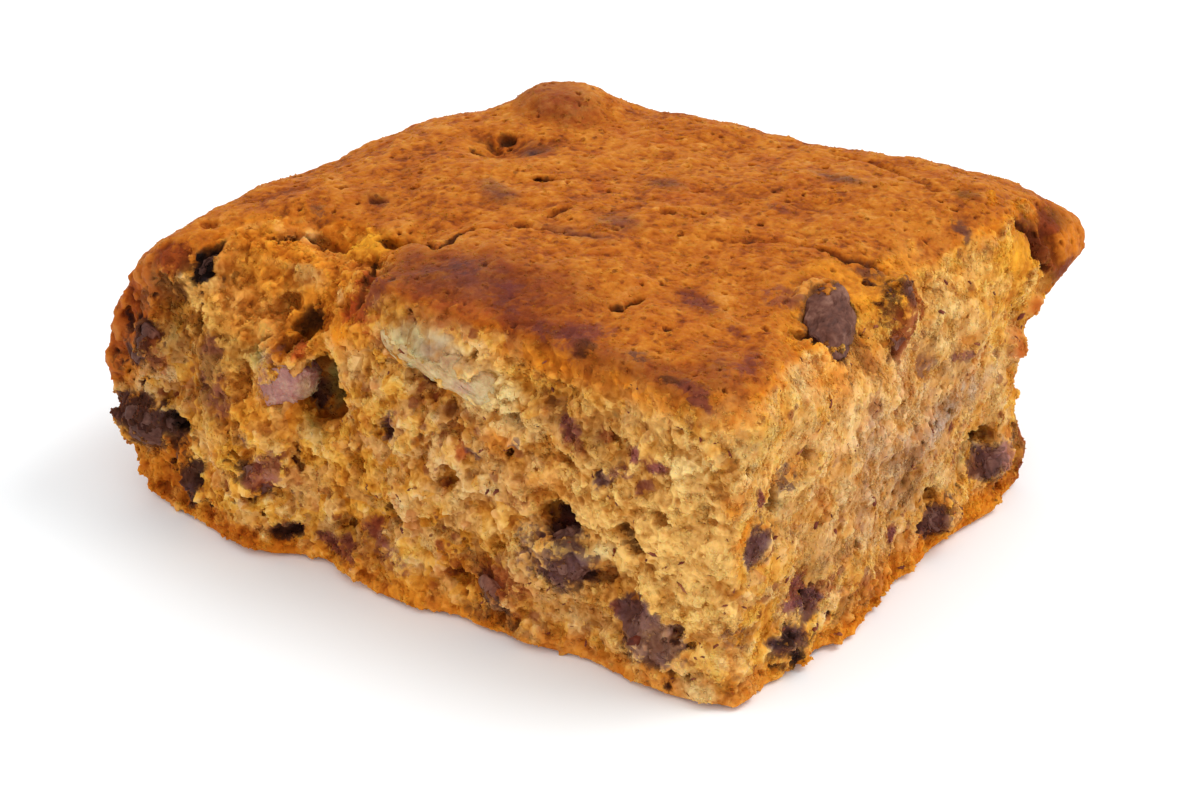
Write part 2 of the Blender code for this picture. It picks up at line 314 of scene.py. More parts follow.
class Tint(Enum):
    """Colours that are painted on the bread in places."""

    BLACK = "140b0a"
    CHOCOLATE = "472a23"
    UMBER = "5e3312"
    PURPLE = "5f3a36"
    MAUVE = "7c5144"
    PLUM = "7c3f36"
    REDDISH = "8a401c"
    RED = "a64a1e"
    BROWN = "96602f"
    OLIVE = "9c7c3c"
    RUST = "b5561a"
    ORANGE = "e38a20"
    GOLD = "f0a92e"
    STRAW = "f6c370"
    PALE = "f6dc9c"
    TAN = "e4b886"
    GREENISH = "cabb88"
    LILAC = "b59d92"
    PINK = "a66c5e"


F, R, T = Side.FRONT, Side.RIGHT, Side.TOP

# Where the surface sinks, or rises where the amount is less than 0, by so many millimetres.
HOLES = (
    *marks(F, (60.4, 28.3, 2.2, 1.3, 3.4, -38), (63.8, 30, 1.4, 0.9, 1.2, -20), (56.2, 22.7, 2.4, 3.6, 3.6, 20),
              (77.6, 12.2, 1.8, 1, 3.4, -10)),
    *marks(T, (73.8, 0.6, 0.9, 2.4, 4, 12)),
    *marks(F, (73.6, 33.4, 0.9, 1.8, 2.6, 12), (45.6, 21.6, 0.8, 1.7, 2.2, 24), (45.6, 10.9, 1.8, 1.6, 3.4),
              (60.5, 3.6, 1.9, 1, 2.4, -30), (13.6, 17.4, 1.9, 1.3, 3.4, 20), (22.8, 16.8, 2.3, 1.3, 3, -10),
              (17.4, 11.4, 2, 0.8, 2, -20), (21.9, 24.2, 1.6, 0.6, 1.8, 10), (29, 27.2, 1.4, 0.7, 1.6, 20),
              (9.1, 21.5, 1.3, 0.7, 1.4, 30), (36, 5.2, 1.7, 0.9, 1.8), (52.4, 6.4, 1.2, 1, 1.8),
              (66.8, 20.6, 1.2, 1.6, 1.6), (37.4, 17.8, 1, 1.4, 1.6, 20), (50.4, 15.2, 1.2, 1, 1.6, 20)),
    *marks(R, (53.7, 10.6, 1.9, 0.8, 2.4, -20), (7.4, 23.4, 0.9, 1.9, 2, 20), (33.6, 30, 1.2, 1.2, 1.8),
              (62.8, 32.2, 1.6, 1, 1.8, 40), (65.6, 31, 1, 2.2, 1.6, 10), (12.8, 26.4, 0.8, 0.8, 1.2)),
    *marks(T, (61.2, 42.3, 1, 0.9, 1.3), (61.6, 40.4, 1.4, 0.7, 0.9, 30), (61.8, 37, 1.1, 0.8, 1.1, 20),
              (49, 33.4, 1.9, 0.6, 1.5, -10), (61, 53, 5, 3, -0.7), (57.9, 10.6, 2.4, 1.5, -1),
              (8.4, 25.9, 1.3, 1.9, -1.1), (2.4, 19.4, 1.5, 1.3, -1.1)),
    *marks(R, (58.6, 20.8, 1.6, 1.6, -1), (61.9, 24.5, 1.6, 1.5, -1.2)),
    *marks(T, (41.7, 25.9, 0.7, 1.6, 1.2, 10), (43.1, 20.7, 1, 0.7, 0.9), (21.9, 12.4, 0.6, 1.2, 1.5, 8),
              (22.6, 10.2, 0.8, 0.8, 1.4), (31, 32.1, 0.9, 0.8, 0.8), (62.7, 18.8, 1, 0.7, 0.7),
              (76.8, 5.2, 1.1, 0.7, 1)),
)

# Cracks and folds: face, points across and up, half width, depth.
CREASES = (
    Crease(T, ((69, 7), (67.6, 9.2), (65.6, 11.2), (62.6, 10.8), (59.6, 10.2)), 0.6, 1.5),
    Crease(
        T,
        ((56.5, 11.6), (53.6, 12.4), (50.6, 11.8), (47.6, 10.4), (47.6, 12.6), (47.9, 15.2), (45.6, 17.6)),
        0.7, 2.2,
    ),
    Crease(T, ((45.6, 17.6), (42, 20.2), (38, 21.2), (33.5, 21.8)), 0.8, 0.4),
    Crease(T, ((55.6, 9.4), (53.6, 6.6), (52.6, 4), (51.2, 1)), 0.7, 1.8),
    Crease(T, ((24.7, 29.3), (19.4, 33.4), (14.9, 35.6)), 0.9, 0.3),
    Crease(T, ((14.9, 35.6), (9.4, 35.8), (5.6, 38)), 0.6, 0.9),
    Crease(T, ((27, 62), (21, 61.6), (15, 59.6), (10, 57)), 0.8, 0.5),
    Crease(F, ((8.8, 32.2), (5.5, 32.6), (3.6, 32.3)), 0.35, 0.9),
    Crease(R, ((60.6, 35.6), (62.4, 33.6), (62, 31), (64, 28.6)), 0.7, 1.3),
    Crease(F, ((30.4, 33.9), (26.4, 33.1), (22, 33)), 0.35, 0.8),
)

# Where the crust has come away, where baked skin reaches round onto the cuts, where banana has smeared over the
# crumb, and where the crumb is toasted.
TORN = Mark(T, 61.6, 2.6, 11.6, 8.0)
SKIN = (
    *marks(F, (85.2, 24.5, 13, 2.7, 1, 117)),
    *marks(R, (70, 29, 5, 8), (60.5, 33, 4, 2.6, 0.7, 10)),
)
BANANA_RIM = Mark(F, 38.8, 33.9, 4.6, 1.5, 0.7, 12.0)
TOASTED = (
    *marks(F, (81.6, 4.4, 7.6, 3.2, 1, -42), (83, 26, 13, 4.6, 0.8, 117), (66, 1, 11, 2.2)),
    *marks(R, (36, 1.6, 32, 2.2, 1, 2)),
    *marks(T, (61.6, 2.6, 11.6, 8, 0.8)),
)

# Soft changes of colour, each laid over those before it. The umber ones in holes and creases are painted shade.
WASHES: MarkTable = {
    Tint.STRAW: {
        F: ((9, 20, 15, 14, 0.95), (32.4, 29, 5.6, 2.4, 0.5, 24), (30, 14, 6, 4, 0.3, 24),
            (69.6, 26.6, 6.4, 6.4, 0.85), (25, 33, 8, 2.4, 0.6, -4)),
        R: ((4, 27, 6, 6, 0.4), (21, 29, 4, 5, 0.4), (43, 30, 6, 6, 0.4)),
    },
    Tint.TAN: {
        R: ((32, 19, 19, 11, 0.6),),
        F: ((34, 22, 12, 5, 0.25, -10), (24, 7, 9, 4, 0.25)),
    },
    Tint.GOLD: {
        F: ((70, 27, 5, 5, 0.4), (66.5, 15.5, 6.4, 5, 0.35), (52, 14, 6, 5, 0.3), (26, 32.4, 5, 1.5, 0.6, -6),
            (14, 9, 6, 3, 0.3)),
        R: ((60, 27, 6, 5, 0.3), (55, 32, 5, 2.4, 0.4), (31, 36.4, 9, 2.6, 0.55), (59, 33, 5, 2.6, 0.5)),
        T: ((57.9, 10.8, 3, 1.8, 1), (66, 3, 6, 4, 0.45), (3, 33, 2.6, 8, 0.45)),
    },
    Tint.PALE: {
        F: ((50.2, 28.2, 3, 2.2, 0.35, 20), (32.4, 29, 5.2, 1.5, 0.6, 24), (5.4, 28.6, 3.2, 2.6, 0.4),
            (18, 13.9, 1.5, 0.8, 0.8, -20), (3.6, 2, 2.6, 1.4, 0.5), (55.6, 33.4, 0.9, 0.7, 0.9),
            (36.2, 33.4, 2.6, 1.3, 0.7, 20), (31, 30.8, 3.6, 1.1, 0.6, 24)),
        R: ((0.8, 29.4, 2.4, 2.8, 0.35), (21.1, 29, 2.2, 3.2, 0.4, -10), (43.2, 29.8, 2.2, 4, 0.35, -10),
            (12.6, 34, 3.2, 1.6, 0.35)),
    },
    Tint.GREENISH: {
        F: ((40.4, 34.3, 3.4, 1.2, 0.75, 10), (64.2, 26.4, 1.7, 3.6, 0.4, -24), (41.8, 32.6, 3, 2, 0.85, 14)),
        R: ((8.4, 21.6, 1, 1.8, 0.5, 20),),
    },
    Tint.OLIVE: {
        F: ((78.6, 24, 2.4, 3, 0.6, 10), (56.4, 20, 2.6, 3.2, 0.7, 20), (66.6, 25, 2.4, 3, 0.35),
            (20.6, 14.4, 1.8, 1, 0.6)),
        R: ((50, 10, 3, 2, 0.4), (4, 32, 3, 1.4, 0.3)),
    },
    Tint.BROWN: {
        F: ((71.8, 21.4, 2.8, 6.4, 0.7, 6), (80, 29.4, 2.6, 2.8, 0.6, 0), (53, 5, 5, 2.4, 0.4),
            (28, 8.4, 5, 2.4, 0.25, 14), (37, 26, 4, 2, 0.3, 20), (20, 28, 3.4, 1.6, 0.45, 10)),
        R: ((13, 12, 3, 3.4, 0.4, 30), (34, 13, 3.4, 2.6, 0.4), (46, 24, 4, 2, 0.3)),
    },
    Tint.LILAC: {
        F: ((38, 33.2, 2.2, 1.6, 0.5, 20),),
        R: ((43.2, 18.4, 5, 2, 0.65, 16), (50.6, 18.4, 3.4, 1.6, 0.4, 10), (33, 17.6, 5, 2, 0.3, -4),
            (25, 22.6, 3.4, 3, 0.3, 40), (24, 15.5, 2.6, 3.6, 0.2, 20)),
    },
    Tint.ORANGE: {
        T: ((62, 3, 11.6, 6.6, 0.6),),
        F: ((52.4, 31.6, 3.6, 2.6, 0.95, -20), (20, 35.8, 6, 1.3, 0.9, -4), (24.6, 35.4, 6, 2, 0.9, -4),
            (13, 35.2, 8, 1.7, 0.8, 0), (30.6, 24.2, 1.8, 1.5, 0.7), (0.3, 25.4, 1.6, 1.3, 0.8),
            (42, 2.4, 12, 2.2, 0.5), (80.6, 4.4, 6, 2.4, 0.5, -42), (31, 6.6, 6, 1.8, 0.5, -8),
            (24.6, 21, 3, 1.6, 0.4, 10)),
        R: ((1.4, 21.6, 1.3, 2.6, 0.9, -24), (0.2, 27.2, 1.4, 1.2, 0.5), (20.6, 31.4, 2.6, 3, 0.7, -20),
            (27, 3, 22, 2.2, 0.4, 4), (54, 2.6, 7, 2, 0.6), (34, 36.6, 8, 1.6, 0.6), (69.4, 30.6, 2.6, 2.6, 0.6)),
    },
    Tint.RUST: {
        F: ((85.2, 24.5, 12, 2.8, 0.5, 117), (80.6, 4.4, 6, 2.4, 0.25, -42), (68, 1.4, 6, 1.4, 0.5)),
        T: ((37.6, 0.6, 8, 1.6, 0.5),),
        R: ((69, 29.6, 3.6, 5.6, 0.25), (58.6, 20.8, 1.3, 1.6, 0.9), (61.9, 24.5, 1.4, 1.3, 0.9),
            (25.6, 3.6, 4, 2, 0.5, 12)),
    },
    Tint.REDDISH: {
        T: ((42, 5.4, 10.5, 6.4, 0.8, -6), (30.5, 8, 7, 5, 0.5, 20), (24, 1.9, 7.6, 2.2, 0.7, 4),
            (12, 1.6, 6.6, 2.2, 0.7, 0), (6.6, 5.6, 2.2, 4.4, 0.6, -30), (4.4, 9, 1.4, 3, 0.5, -10),
            (16.7, 16.9, 3.4, 1.8, 0.5, 20), (36.2, 39.7, 2.8, 1.8, 0.4, 10), (61, 52, 5.5, 3.6, 0.8, 10)),
        F: ((82, 14.5, 6, 11, 0.4),),
        R: ((35.1, 16.4, 3, 2.4, 0.3, 20), (62.2, 5.4, 2.6, 4.2, 0.8), (66.6, 33.6, 1.8, 1.4, 0.5)),
    },
    Tint.PURPLE: {
        T: ((41, 5.6, 6.6, 3.2, 0.4, -6), (36.5, 21.6, 4.2, 1, 0.5, 0), (50.9, 26.5, 4.2, 1.5, 0.6, 30),
            (34.2, 26.9, 3, 1.7, 0.55, 10), (56, 40.8, 2.4, 1.6, 0.75, 20), (36.6, 40.2, 2.2, 1.4, 0.5, 10),
            (21.1, 53.6, 3.8, 1.2, 0.7, 8), (62.7, 18.8, 2, 1, 0.5, 10)),
        R: ((38, 13, 9, 5, 0.12),),
    },
    # Umber, mostly in the holes and creases: painted shade there.
    Tint.UMBER: {
        F: ((77.5, 28.5, 2, 2.6, 0.4, 0), (55.4, 23.6, 1.6, 3, 0.8, 20), (60.4, 28.3, 2, 1.4, 0.8, -38)),
        R: ((63.6, 31.6, 1.2, 4, 0.8, 10), (66.6, 27.2, 2.4, 1.1, 0.6, 20), (68.6, 33, 2, 1, 0.6, -20)),
        T: ((6.4, 58, 1.6, 1.2, 0.6),),
    },
}

# Colours with ragged edges, a crumb at a time. The umber and black marks on the holes are painted shade.
STAINS: MarkTable = {
    Tint.REDDISH: {
        T: ((31.3, 1.6, 1.6, 1, 0.7),),
        F: ((77.9, 33.2, 2.2, 1.8, 0.75), (80.6, 20.6, 1.4, 3, 0.5, -10), (29.6, 7.5, 3.2, 1.7, 0.6, 10),
            (36.4, 6, 2, 1.4, 0.5, 0), (20.8, 27.1, 1.8, 1.2, 0.5), (17.1, 28.8, 1.2, 0.9, 0.6),
            (12.1, 27.9, 2.2, 1, 0.5, -10), (8.9, 27.3, 1.5, 0.8, 0.5, -10), (28.6, 18, 2.2, 1.4, 0.4)),
        R: ((34.6, 31.6, 2.4, 3.6, 0.65, -16), (39, 33.2, 1.2, 3, 0.8), (15.5, 8.4, 2.8, 1.4, 0.6, 30),
            (11.3, 11.2, 1.8, 1.3, 0.6, 20), (27.4, 31.6, 1.4, 2.2, 0.4, 0), (32.6, 7.2, 1.3, 1.1, 0.7),
            (22.6, 6, 2.2, 1, 0.6, 10), (26.1, 26.2, 1.2, 1.8, 0.6), (63.4, 31, 2, 3.6, 0.7, 20),
            (68, 27.6, 2, 1.1, 0.8, 20), (66.8, 33, 1.6, 1.3, 0.8)),
    },
    Tint.BROWN: {
        F: ((71.5, 22, 1.8, 3.2, 0.6, 10), (73.4, 18.4, 1.4, 2.4, 0.7), (79.6, 30, 1.6, 1.8, 0.7),
            (34, 2.4, 2.6, 1.2, 0.6), (27, 2, 2, 1, 0.6)),
        R: ((19, 4, 2.4, 1.4, 0.7), (24.4, 3.4, 1.6, 1.2, 0.7), (45, 3, 2.4, 1.4, 0.7),
            (27.1, 31.4, 1.6, 2.6, 0.5, 10), (32.2, 29.5, 1.3, 1.8, 0.5), (39.6, 27.3, 1.6, 2.4, 0.4, 10),
            (26.1, 26.2, 1.3, 2, 0.6, 14), (35.1, 16.6, 2.2, 0.8, 0.8, 20), (34.4, 14, 0.9, 1.8, 0.8, 10),
            (34.7, 10.8, 2.2, 1, 0.7, 10)),
    },
    Tint.PLUM: {
        F: ((48, 7.6, 2.4, 1.2, 0.6, 10), (53.5, 3.6, 3.4, 1.4, 0.7, 6), (12.6, 28, 1.3, 0.9, 0.8, -34),
            (10.2, 27.2, 1.8, 0.7, 0.8, -30), (21.6, 28.4, 1.6, 1.4, 0.7), (15.3, 8.2, 0.9, 0.7, 0.8),
            (62.4, 11.6, 1.9, 3, 0.75, 24), (69.8, 17.6, 1.8, 2.4, 0.5, 0), (71.6, 24.6, 1.6, 1.2, 0.6, 20),
            (73, 20.4, 1, 2.2, 0.6, 10), (69.4, 20.6, 1, 1.4, 0.5), (45, 5.4, 3, 1.6, 0.5, 0),
            (14.6, 25, 1.6, 1, 0.6, -30), (11.6, 24.4, 1.6, 0.9, 0.6, -40)),
        R: ((11.4, 10.5, 1.2, 1.6, 0.9, 20), (10.6, 8.6, 1.6, 0.8, 0.8), (32.5, 6.8, 0.9, 1, 0.9),
            (2.6, 25.2, 0.6, 1.4, 0.9, -20), (47, 24, 2.6, 0.7, 0.6, -10)),
        T: ((16.8, 17.2, 3, 1.6, 0.6, 16), (22.6, 4, 2.6, 2.8, 0.7, 20), (26.8, 2.4, 1.8, 1.6, 0.5),
            (33.6, 5.4, 2.6, 2.4, 0.5, 30), (6.7, 1.4, 2.6, 1.2, 0.7), (4.6, 8.6, 1.2, 3, 0.6, -10),
            (9.3, 14, 1.8, 1.1, 0.6, 20), (10.2, 23.6, 2.4, 2.2, 0.6, 20), (6.6, 6.4, 2, 1.4, 0.4, 20),
            (21.8, 41.9, 1.8, 1, 0.5, 10)),
    },
    Tint.RED: {
        T: ((52.6, 3.4, 1.2, 3.4, 0.6, -10), (48.4, 0.2, 1.8, 1.4, 0.4)),
        F: ((52, 33.6, 2.6, 1.6, 0.5, -20), (48.1, 33.6, 1.2, 1.6, 0.4, 30), (58.8, 27.4, 0.8, 1.1, 0.8),
            (35.6, 22, 0.7, 1.5, 0.7)),
    },
    Tint.PURPLE: {
        T: ((48.4, 1.6, 2, 2.2, 0.4), (14.6, 2.8, 1.8, 1.3, 0.6), (40.6, 7.4, 3, 1.8, 0.4, 10),
            (66.9, 13.3, 1.6, 1, 0.4, 10), (3.6, 51.7, 1.4, 1.2, 0.7)),
        F: ((87, 11.6, 1.8, 1.8, 0.7), (45.5, 22, 1, 2.4, 0.8, 24), (21.2, 12.6, 3.2, 3, 0.6),
            (26.1, 12.8, 1.8, 2.8, 0.5, -20), (12.1, 8.8, 3, 1.8, 0.9, -20), (34.2, 21.8, 1.2, 0.7, 0.7, 40),
            (28.3, 24.6, 0.7, 0.7, 0.7), (17.1, 23.8, 1.1, 0.9, 0.8), (65.4, 14.9, 1, 0.8, 0.7)),
        R: ((3.6, 18.8, 1.4, 2.6, 0.8, -24), (9.6, 24.6, 1.6, 2, 0.5, 20), (12.9, 7.5, 1.7, 1.6, 0.8),
            (8.9, 4.9, 2.6, 1.3, 0.8, 10), (40.5, 5.2, 1.9, 2.2, 0.7), (52.4, 7.4, 2.6, 2, 0.7),
            (36.2, 36.8, 1.6, 2, 0.8)),
    },
    Tint.MAUVE: {
        F: ((9.4, 6.6, 3.6, 2.8, 0.6, -20),),
        R: ((39, 24.6, 1.8, 2.4, 0.4), (1.6, 8.2, 2.2, 1.6, 0.4)),
    },
    Tint.PINK: {
        F: ((62.9, 23.2, 1.6, 3, 0.6, 10), (35, 30, 1.2, 0.8, 0.7)),
        R: ((56.4, 6.8, 1.6, 2, 0.7),),
    },
    Tint.OLIVE: {
        F: ((57, 22.4, 1.9, 3.4, 0.85, 20), (64.6, 25.6, 1, 3, 0.4, 0)),
    },
    Tint.CHOCOLATE: {
        F: ((82.4, 11.8, 5.4, 2.2, 0.9, 4), (75.2, 5.6, 1.3, 4.2, 1, 14), (82.4, 21.6, 1.6, 2.6, 0.7, -20),
            (84.8, 19.2, 1.7, 1.5, 0.8, 20), (88.6, 24, 0.9, 2.6, 0.5, 20), (22.6, 16.4, 2.4, 1.6, 0.7, -10),
            (60.5, 3.8, 2.4, 1.3, 0.8, -20)),
    },
    # Umber, mostly on the holes and pits: painted shade in them.
    Tint.UMBER: {
        F: ((45.6, 10.9, 1.8, 1.7, 0.7), (60, 29, 2, 1.5, 0.7, -38), (55.4, 22.6, 1.3, 3, 0.6, 20),
            (76.5, 30.5, 0.9, 3, 0.7, 10), (82, 27.6, 1, 2.4, 0.6, 30), (87.6, 17.4, 1.2, 1.4, 0.6),
            (13.6, 17.4, 1.9, 1.3, 0.6, 20)),
        T: ((61.2, 42.3, 1.2, 1.1, 0.8), (61.8, 37, 1.2, 0.9, 0.7, 20), (49, 33.4, 2, 0.7, 0.8, -10),
            (21.9, 12.4, 0.7, 1.2, 0.9, 8), (22.6, 10.2, 0.9, 0.8, 0.9), (41.7, 25.9, 0.6, 1.6, 0.7, 10),
            (20.9, 2, 1.6, 1, 0.7, 10), (10, 1.4, 1.8, 0.7, 0.7)),
        R: ((53.7, 10.6, 2.2, 0.9, 0.6, -20),),
    },
    # Near-black, mostly in the deep holes and slots: painted shade in them.
    Tint.BLACK: {
        T: ((73.8, 0.8, 1, 2.6, 0.95, 12),),
        F: ((73.6, 33.2, 1.1, 2.2, 0.9, 12), (77.6, 12.4, 1.9, 1.2, 0.9, -10), (53.9, 22.8, 0.8, 2.4, 0.4, 10)),
        R: ((8.4, 5, 1.8, 0.5, 0.8, 12), (10, 2.2, 0.7, 1.8, 0.7, 20)),
    },
}


def apply_modifiers(piece: bpy.types.Object) -> None:
    """Makes the modified shape of a piece its own mesh.

    Args:
        piece: The piece. Its modifiers are gone afterwards.
    """
    graph = bpy.context.evaluated_depsgraph_get()
    shaped = bpy.data.meshes.new_from_object(piece.evaluated_get(graph))
    plain = piece.data
    piece.modifiers.clear()
    piece.data = shaped
    shaped.materials.clear()
    bpy.data.meshes.remove(plain)


def modify(piece: bpy.types.Object, kind: str, **settings: object) -> None:
    """Adds a modifier to a piece and applies it at once.

    Args:
        piece: The piece.
        kind: The modifier's type.
        settings: Its properties.
    """
    modifier = piece.modifiers.new(kind.lower(), kind)
    for name, value in settings.items():
        setattr(modifier, name, value)
    apply_modifiers(piece)


def fuse(piece: bpy.types.Object, voxel: float) -> None:
    """Joins everything that overlaps in a piece into one even skin."""
    modify(piece, "REMESH", mode="VOXEL", voxel_size=voxel * MM, adaptivity=0.0)


def smooth(piece: bpy.types.Object, rounds: int) -> None:
    """Evens out a piece's skin."""
    modify(piece, "SMOOTH", factor=0.5, iterations=rounds)


def placed(name: str, data: bpy.types.ID) -> bpy.types.Object:
    """Puts an object with the given mesh, camera or light in the scene.

    Args:
        name: The object's name.
        data: What it shows.

    Returns:
        The object.
    """
    made = bpy.data.objects.new(name, data)
    bpy.context.scene.collection.objects.link(made)
    return made


def new_piece(name: str, shape: bmesh.types.BMesh) -> bpy.types.Object:
    """Makes an object of a bmesh and puts it in the scene.

    Args:
        name: The piece's name.
        shape: Its shape in metres. It is freed.

    Returns:
        The object, at the origin.
    """
    mesh = bpy.data.meshes.new(name)
    shape.to_mesh(mesh)
    shape.free()
    mesh.shade_smooth()
    return placed(name, mesh)


def merged_copy(node: bpy.types.Object) -> bmesh.types.BMesh:
    """A bmesh copy of a frame node whose loose triangles are joined at their corners.

    Args:
        node: The frame's object.

    Returns:
        The copy, in metres.
    """
    shape = bmesh.new()
    shape.from_mesh(node.data)
    bmesh.ops.remove_doubles(shape, verts=shape.verts, dist=1e-6)
    return shape


def scatter(
    name: str, seed_shape: bmesh.types.BMesh, moves: np.ndarray, sharp: bool = False
) -> bpy.types.Object:
    """Makes one piece of many copies of a small shape.

    Args:
        name: The piece's name.
        seed_shape: The small shape, of triangles. It is freed.
        moves: One 4 by 4 matrix for each copy, in metres.
        sharp: Whether its edges look sharp.

    Returns:
        The joined piece.
    """
    mesh = bpy.data.meshes.new(name + "_seed")
    seed_shape.to_mesh(mesh)
    seed_shape.free()
    corners = np.array([(*v.co, 1.0) for v in mesh.vertices])
    faces = np.array([f.vertices[:] for f in mesh.polygons])
    bpy.data.meshes.remove(mesh)
    places = np.einsum("nij,vj->nvi", moves, corners)[..., :3].reshape(-1, 3)
    steps = (np.arange(len(moves)) * len(corners))[:, None, None]
    all_faces = (faces[None] + steps).reshape(-1, faces.shape[1])
    joined = bpy.data.meshes.new(name)
    joined.from_pydata(places.tolist(), [], all_faces.tolist())
    if not sharp:
        joined.shade_smooth()
    return placed(name, joined)


def join(target: bpy.types.Object, other: bpy.types.Object) -> None:
    """Adds another piece's mesh to a target's, and removes that piece.

    Args:
        target: The piece that grows.
        other: The piece that is used up.
    """
    shape = bmesh.new()
    shape.from_mesh(target.data)
    shape.from_mesh(other.data)
    shape.to_mesh(target.data)
    shape.free()
    spare = other.data
    bpy.data.objects.remove(other)
    bpy.data.meshes.remove(spare)


@dataclass
class Scatter:
    """Random places on a mesh, more of them where it is weighted more."""

    piece: bpy.types.Object
    rng: np.random.Generator

    def draw(self, count: int, weights: np.ndarray) -> tuple[np.ndarray, np.ndarray]:
        """Draws places on the piece's faces.

        Args:
            count: How many.
            weights: How likely each vertex's surroundings are, one number a vertex.

        Returns:
            The places from the near corner, and the outward directions there.
        """
        mesh = self.piece.data
        mesh.calc_loop_triangles()
        corners = np.empty(len(mesh.loop_triangles) * 3, np.int32)
        mesh.loop_triangles.foreach_get("vertices", corners)
        corners = corners.reshape(-1, 3)
        cloud = Cloud.read(self.piece)
        a, b, c = (cloud.places[corners[:, k]] for k in range(3))
        areas = np.linalg.norm(np.cross(b - a, c - a), axis=1) * weights[corners].mean(axis=1)
        chosen = self.rng.choice(len(corners), count, p=areas / areas.sum())
        shares = self.rng.dirichlet((1.0, 1.0, 1.0), count)[..., None]
        places = (cloud.places[corners[chosen]] * shares).sum(axis=1)
        normals = (cloud.normals[corners[chosen]] * shares).sum(axis=1)
        return places, normals / np.maximum(np.linalg.norm(normals, axis=1), 1e-6)[:, None]


def blob_moves(places: np.ndarray, sizes: np.ndarray, rng: np.random.Generator) -> np.ndarray:
    """Matrices that put an uneven, turned blob at each place.

    Args:
        places: Middles, from the near corner.
        sizes: Half sizes, one row of three numbers for each.
        rng: Where the turns are drawn from.

    Returns:
        One 4 by 4 matrix for each place, in metres.
    """
    turns = rng.uniform(0.0, 2.0 * math.pi, (len(places), 3))
    moves = [
        Matrix.LocRotScale(Vector(place), Euler(turn), Vector(size))
        for place, turn, size in zip((places + NEAR_CORNER) * MM, turns, sizes * MM)
    ]
    return np.array([tuple(map(tuple, move)) for move in moves])


def ball() -> bmesh.types.BMesh:
    """A ball of 80 triangles with a radius of 1.

    Returns:
        The ball.
    """
    shape = bmesh.new()
    bmesh.ops.create_icosphere(shape, subdivisions=2, radius=1.0)
    return shape


def chip(rng: np.random.Generator) -> bmesh.types.BMesh:
    """An angular crumb with a radius of about 1: a cube whose corners are pushed about.

    Args:
        rng: Where the corners are drawn from.

    Returns:
        The crumb, of triangles.
    """
    crumb = bmesh.new()
    bmesh.ops.create_cube(crumb, size=1.3)
    for corner in crumb.verts:
        corner.co *= rng.uniform(0.6, 1.3)
    bmesh.ops.triangulate(crumb, faces=crumb.faces[:])
    return crumb


def stored_values(piece: bpy.types.Object, name: str) -> np.ndarray:
    """The numbers that a piece stores under a name, one for each vertex.

    Args:
        piece: The piece.
        name: What the numbers are stored as.

    Returns:
        The numbers.
    """
    stored = piece.data.attributes[name].data
    values = np.empty(len(stored), np.float32)
    stored.foreach_get("value", values)
    return values.astype(float)


